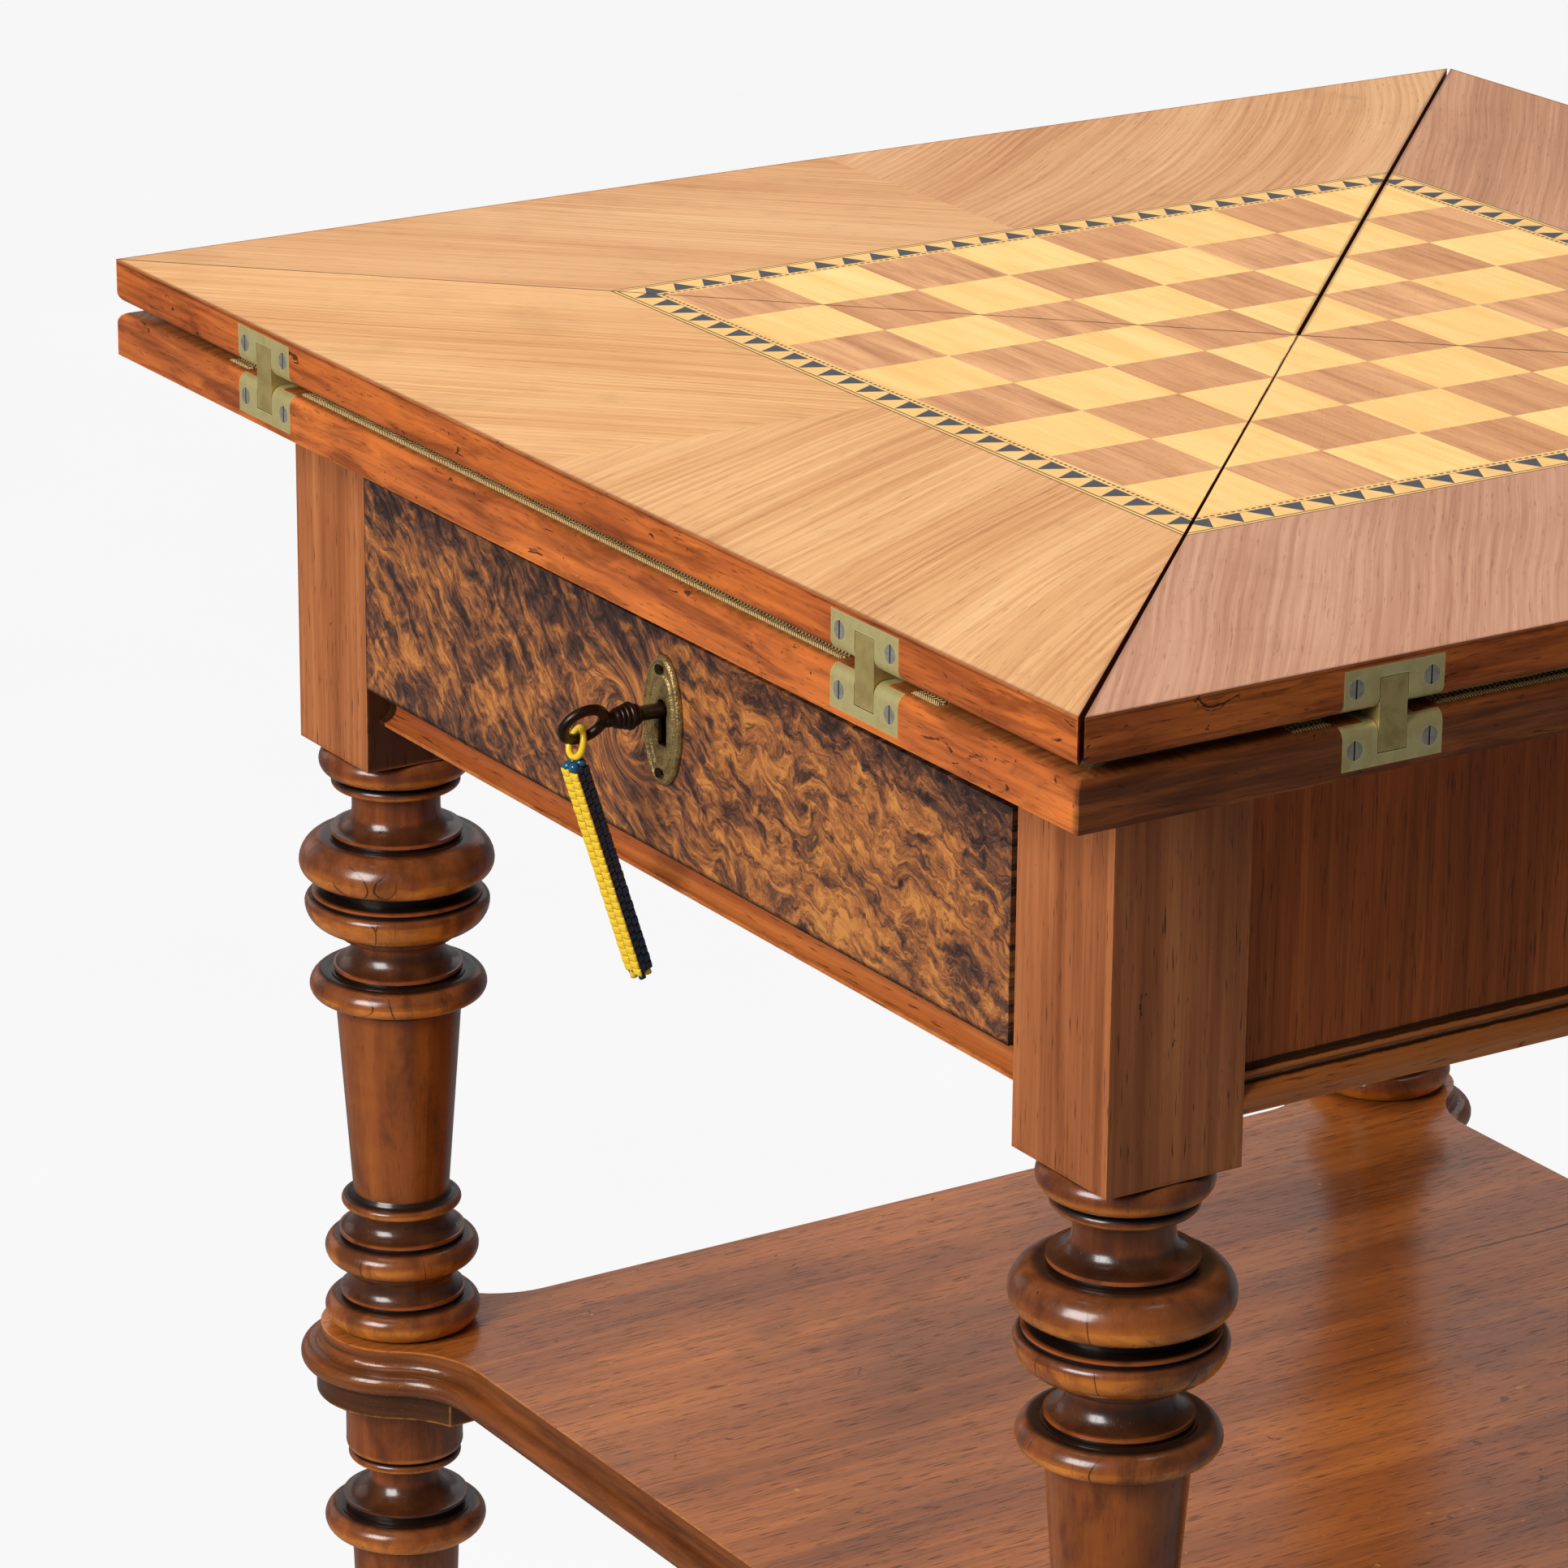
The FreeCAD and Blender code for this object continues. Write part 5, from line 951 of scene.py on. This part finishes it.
# blue knot over the top of the braid
tv, tf = [], []
for k, (ox, oy, dd, rad, turn) in enumerate(((-1.5, -1.5, 1.5, 1.75, 0.4), (1.5, -1.4, 1.9, 1.7, -0.5), (1.4, 1.5, 1.6, 1.7, 0.5), (-1.4, 1.5, 1.9, 1.7, -0.4))):
    c = neck + axis_x * ox + axis_y * oy + axis_d * dd
    v, f = [], []
    for i in range(9):
        th = math.pi * i / 8
        v.append([(c + (axis_x * (rad * 1.08 * math.cos(ph)) + axis_y * (rad * math.sin(ph))) * math.sin(th) + axis_d * (-1.55 * math.cos(th)) + axis_x * (turn * math.sin(th * 0.5))) * MM for ph in [2 * math.pi * q / 16 for q in range(16)]])
    vv, ff = tube_rings(v[1:-1])
    off = len(tv)
    tv += vv
    tf += [tuple(i + off for i in x) for x in ff]
knot = mesh_object("fob_knot", tv, tf, M["teal"], "fob", "lace_blue")

# ------------------------------------------------------------------ lace loop on the bow
lp_down = lean(Vector((0, 0, -1)), LOOP_LEAN)
lp_axis = lean(Vector((0, 1, 0)), LOOP_LEAN)
eye = hang + lp_down * 1.1
rows = []
for i in range(64):
    a = 2 * math.pi * i / 64
    slim = 0.78
    rad = 1.12 + 0.05 * math.sin(3 * a)
    ctr = eye + (lp_down * math.sin(a) + Vector((1, 0, 0)) * (math.cos(a) * slim)) * 4.85 + lp_axis * (0.30 * math.sin(2 * a))
    out = (lp_down * math.sin(a) + Vector((1, 0, 0)) * math.cos(a)).normalized()
    rows.append([(ctr + out * (rad * math.cos(b)) + lp_axis * (rad * math.sin(b))) * MM for b in [2 * math.pi * q / 14 for q in range(14)]])
lv, lf = tube_rings(rows, closed=True)
loop = mesh_object("key_loop_lace", lv, lf, M["yellow"], "key_loop", "lace_yellow")
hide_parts("key_loop")


# ------------------------------------------------------------------ linings: baize and braid
def turn_to(side):
    """From the front edge to another edge of the table."""
    a = {"front": 0.0, "right": math.pi / 2, "back": math.pi, "left": -math.pi / 2}[side]
    return Matrix.Rotation(a, 3, "Z")


def nap(x, y):
    return 0.03 * math.sin(x * 0.13 + 0.7) * math.sin(y * 0.11) + 0.02 * math.sin(x * 0.41 + y * 0.29)


def cloth(name, outline, z_low, z_high, up, body, node):
    """A thin sheet cut to an outline of three or four corners, with a soft uneven nap on the shown face."""
    bm = bmesh.new()
    face = bm.faces.new([bm.verts.new(Vector((p.x, p.y, 0.0))) for p in outline])
    for _ in range(5):
        bmesh.ops.subdivide_edges(bm, edges=bm.edges[:], cuts=1, use_grid_fill=True)
    bmesh.ops.triangulate(bm, faces=[f for f in bm.faces if len(f.verts) > 4])
    shown, hidden = (z_high, z_low) if up else (z_low, z_high)
    geo = bmesh.ops.extrude_face_region(bm, geom=bm.faces[:])
    new = {v for v in geo["geom"] if isinstance(v, bmesh.types.BMVert)}
    for v in bm.verts:
        if v in new:
            v.co.z = shown - (0.05 - nap(v.co.x, v.co.y)) * (1 if up else -1)
        else:
            v.co.z = hidden
    bmesh.ops.recalc_face_normals(bm, faces=bm.faces)
    bmesh.ops.scale(bm, vec=(MM, MM, MM), verts=bm.verts)
    me = bpy.data.meshes.new(name)
    bm.to_mesh(me)
    bm.free()
    o = bpy.data.objects.new(name, me)
    scene.collection.objects.link(o)
    me.materials.append(M["baize"])
    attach(o, body)
    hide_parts(node)
    return o


def braid_run(V_, F_, uvs, a0, b0, a1, b1, z0, up, start):
    """A length of braid between its outer edge a0-b0 and its inner edge a1-b1: a cord along each edge, a woven band between."""
    width = BRAID_W
    sec = []
    for i in range(25):
        v = width * i / 24
        e = min(v, width - v)
        h = 1.08 * math.sqrt(max(0.0, 1 - ((e - 0.95) / 0.95) ** 2)) if e < 1.9 else 0.0
        sec.append((v, max(h, 0.0 if e < 0.5 else 0.62)))
    length = (b0 - a0).length
    k = max(2, int(length / 1.5))
    base = len(V_)
    m = len(sec) + 2
    for s in range(k + 1):
        f = s / k
        run = start + length * f
        fray = min(1.0, 0.55 + min(f, 1 - f) * length / 5.0)
        for v, h in sec:
            p = a0.lerp(b0, f).lerp(a1.lerp(b1, f), v / width)
            wav = 0.10 * math.sin(run * 4.2 + v * 3.0) + 0.08 * math.sin(run * 0.37 + v)
            V_.append(Vector((p.x, p.y, z0 + max(0.02, (h - 0.14 + wav) * fray if h > 0.05 else 0.02) * (1 if up else -1))) * MM)
            uvs.append((run, v * 9.0 / width))
        for v in (width, 0.0):
            p = a0.lerp(b0, f).lerp(a1.lerp(b1, f), v / width)
            V_.append(Vector((p.x, p.y, z0)) * MM)
            uvs.append((run, v * 9.0 / width))
    for s in range(k):
        for j in range(m):
            w = (j + 1) % m
            F_.append((base + s * m + j, base + s * m + w, base + (s + 1) * m + w, base + (s + 1) * m + j))
    F_.append(tuple(base + j for j in range(m)))
    F_.append(tuple(base + k * m + j for j in reversed(range(m))))


HALF_T = 295.0
BRAID_W, BRAID_IN, BRAID_END = 6.5, 4.0, 218.0
GAPS = ((-BRAID_END, -204.5), (-166.5, 166.5), (204.5, BRAID_END))
ci = HALF_T - 10.0
sq = [Vector((-ci, -ci)), Vector((ci, -ci)), Vector((ci, ci)), Vector((-ci, ci))]
base_cloth = cloth("base_lining", sq, 720.0, 721.0, True, "top", "base_baize")
bv_, bf_, bu_ = [], [], []
for n_, s in enumerate(SIDES):
    R = turn_to(s)
    for x0, x1 in GAPS:
        e = [(R @ Vector((x, y, 0))).to_2d() for x, y in ((x0, -HALF_T + BRAID_IN), (x1, -HALF_T + BRAID_IN), (x0, -HALF_T + BRAID_IN + BRAID_W), (x1, -HALF_T + BRAID_IN + BRAID_W))]
        braid_run(bv_, bf_, bu_, e[0], e[1], e[2], e[3], 721.0, True, 700.0 * n_ + x0)
base_gilt = mesh_object("base_gilt", bv_, bf_, M["braid"], "top", "braid", uvs=bu_)
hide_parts("base_braid")
SD = 0.75 * 1.41421356


def tri(dy, dg):
    d = SD + dg * 1.41421356
    yv = -HALF_T + dy
    w = -yv - d
    return [Vector((-w, yv)), Vector((w, yv)), Vector((0.0, -d))]


for n_, s in enumerate(SIDES):
    R = turn_to(s)
    pts = [R @ p.to_3d() for p in tri(10.0, 15.0)]
    c = cloth("leaf_%s_lining" % s, pts, 724.5, 725.5, False, "leaf_" + s, "leaf_%s_baize" % s)
    w = (pts[1] - pts[0]).length
    h = ((pts[0] + pts[1]) / 2 - pts[2]).length
    k = BRAID_W * 0.35
    O, I = tri(BRAID_IN, 15.0 - k), tri(BRAID_IN + BRAID_W, 15.0 - k + BRAID_W)
    bv_, bf_, bu_ = [], [], []
    runs = [(Vector((x0, O[0].y)), Vector((x1, O[0].y)), Vector((x0, I[0].y)), Vector((x1, I[0].y))) for x0, x1 in GAPS]
    cutoff = -HALF_T + BRAID_IN + BRAID_W + 0.5
    for sgn in (0, 1):
        fo = (cutoff - O[sgn].y) / (O[2].y - O[sgn].y)
        fi = (cutoff - I[sgn].y) / (I[2].y - I[sgn].y)
        runs.append((O[sgn].lerp(O[2], fo), O[2], I[sgn].lerp(I[2], fi), I[2]))
    for q_, (a0, b0, a1, b1) in enumerate(runs):
        e = [(R @ v.to_3d()).to_2d() for v in (a0, b0, a1, b1)]
        braid_run(bv_, bf_, bu_, e[0], e[1], e[2], e[3], 724.5, False, 900.0 * n_ + 310.0 * q_)
    g_ = mesh_object("leaf_%s_gilt" % s, bv_, bf_, M["braid"], "leaf_" + s, "braid", uvs=bu_)
    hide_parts("leaf_%s_braid" % s)

# ------------------------------------------------------------------ floor, light, camera
floor_t = Tree("floor_white")
fn = floor_t.noise(floor_t.vec(floor_t.mul(floor_t.x, 0.004), floor_t.mul(floor_t.y, 0.004), 0.0), 3)
# a sheet of white paper under and behind the table, on a duller floor
across = floor_t.m("ABSOLUTE", floor_t.add(floor_t.mul(floor_t.x, 0.5377), floor_t.mul(floor_t.y, 0.8431)))
behind = floor_t.sub(floor_t.mul(floor_t.y, 0.5377), floor_t.mul(floor_t.x, 0.8431))
paper = floor_t.mul(floor_t.rng(across, 900.0, 1500.0, 1.0, 0.0), floor_t.rng(behind, -700.0, -100.0))
fc = floor_t.ramp(floor_t.add(floor_t.mul(paper, -0.5), floor_t.mul(fn, 0.04), 0.5), [(0.0, (0.19, 0.19, 0.19, 1)), (0.54, (0.34, 0.34, 0.34, 1))])
floor_t.finish(fc, 0.7, spec=0.2)
floor_t.b.inputs["Emission Color"].default_value = (1, 1, 1, 1)
floor_t.put(floor_t.b.inputs["Emission Strength"], floor_t.mul(paper, 0.77))
me = bpy.data.meshes.new("floor")
me.from_pydata([(-14, -14, 0), (14, -14, 0), (14, 14, 0), (-14, 14, 0)], [], [(0, 1, 2, 3)])
floor = bpy.data.objects.new("floor", me)
scene.collection.objects.link(floor)
me.materials.append(floor_t.mat)
floor.visible_glossy = False
floor.visible_camera = False
seen_t = Tree("floor_pale")
sn = seen_t.noise(seen_t.vec(seen_t.mul(seen_t.x, 0.004), seen_t.mul(seen_t.y, 0.004), 0.0), 3)
seen_t.finish(seen_t.ramp(sn, [(0.3, (0.185, 0.185, 0.185, 1)), (0.7, (0.195, 0.195, 0.195, 1))]), 0.7, spec=0.2)
seen_t.b.inputs["Emission Color"].default_value = (1, 1, 1, 1)
seen_t.b.inputs["Emission Strength"].default_value = 0.785
me = me.copy()
me.materials[0] = seen_t.mat
seen = bpy.data.objects.new("floor_seen", me)
scene.collection.objects.link(seen)
seen.visible_glossy = False
seen.visible_diffuse = False
seen.visible_shadow = False

world = bpy.data.worlds.new("studio")
scene.world = world
world.use_nodes = True
wn = world.node_tree
wn.nodes.clear()
wo = wn.nodes.new("ShaderNodeOutputWorld")
bg = wn.nodes.new("ShaderNodeBackground")
tcw = wn.nodes.new("ShaderNodeTexCoord")
sw = wn.nodes.new("ShaderNodeSeparateXYZ")
rw = wn.nodes.new("ShaderNodeValToRGB")
wn.links.new(tcw.outputs["Generated"], sw.inputs[0])
wn.links.new(sw.outputs[2], rw.inputs[0])
el = rw.color_ramp.elements
el[0].position, el[0].color = 0.0, (0.92, 0.93, 0.95, 1)
el[1].position, el[1].color = 0.75, (0.30, 0.31, 0.33, 1)
wn.links.new(rw.outputs[0], bg.inputs[0])
bg.inputs[1].default_value = 0.17
wn.links.new(bg.outputs[0], wo.inputs[0])


def area(name, loc, target, size, power, color=(1, 1, 1)):
    d = bpy.data.lights.new(name, "AREA")
    d.shape = "RECTANGLE"
    d.size, d.size_y = size
    d.energy = power
    d.color = color
    o = bpy.data.objects.new(name, d)
    o.location = loc
    o.rotation_euler = (Vector(target) - Vector(loc)).to_track_quat("-Z", "Y").to_euler()
    scene.collection.objects.link(o)
    return o


area("key_light", (0.6, -3.0, 2.2), (0.0, 0.0, 0.5), (1.6, 1.6), 114, (1.0, 0.985, 0.96))
area("top_light", (-0.4, 0.4, 3.0), (0.0, 0.0, 0.7), (2.4, 2.4), 52)
area("back_card", (-2.6, 1.7, 1.7), (0.0, 0.0, 0.6), (2.6, 1.2), 4.2)
area("side_fill", (-3.0, -0.6, 1.4), (0.0, 0.0, 0.5), (1.4, 1.4), 2)

cam_data = bpy.data.cameras.new("camera")
cam = bpy.data.objects.new("camera", cam_data)
scene.collection.objects.link(cam)
scene.camera = cam
AZ, EL, ROLL = 1.0030107103444599, 0.3347637262675732, 0.007467184193549426
back = Vector((math.sin(AZ) * math.cos(EL), -math.cos(AZ) * math.cos(EL), math.sin(EL)))
right = Vector((math.cos(AZ), math.sin(AZ), 0))
upv = back.cross(right)
cx = right * math.cos(ROLL) + upv * math.sin(ROLL)
cy = upv * math.cos(ROLL) - right * math.sin(ROLL)
mat = Matrix.Identity(4)
for i in range(3):
    mat[i][0], mat[i][1], mat[i][2] = cx[i], cy[i], back[i]
mat.translation = Vector((1.660703819618362, -1.2632791615527728, 1.301902397705771))
cam.matrix_world = mat
cam_data.sensor_width = 36.0
cam_data.lens = 36.0 * 7858.956 / 1932.0
cam_data.clip_start, cam_data.clip_end = 0.05, 60.0
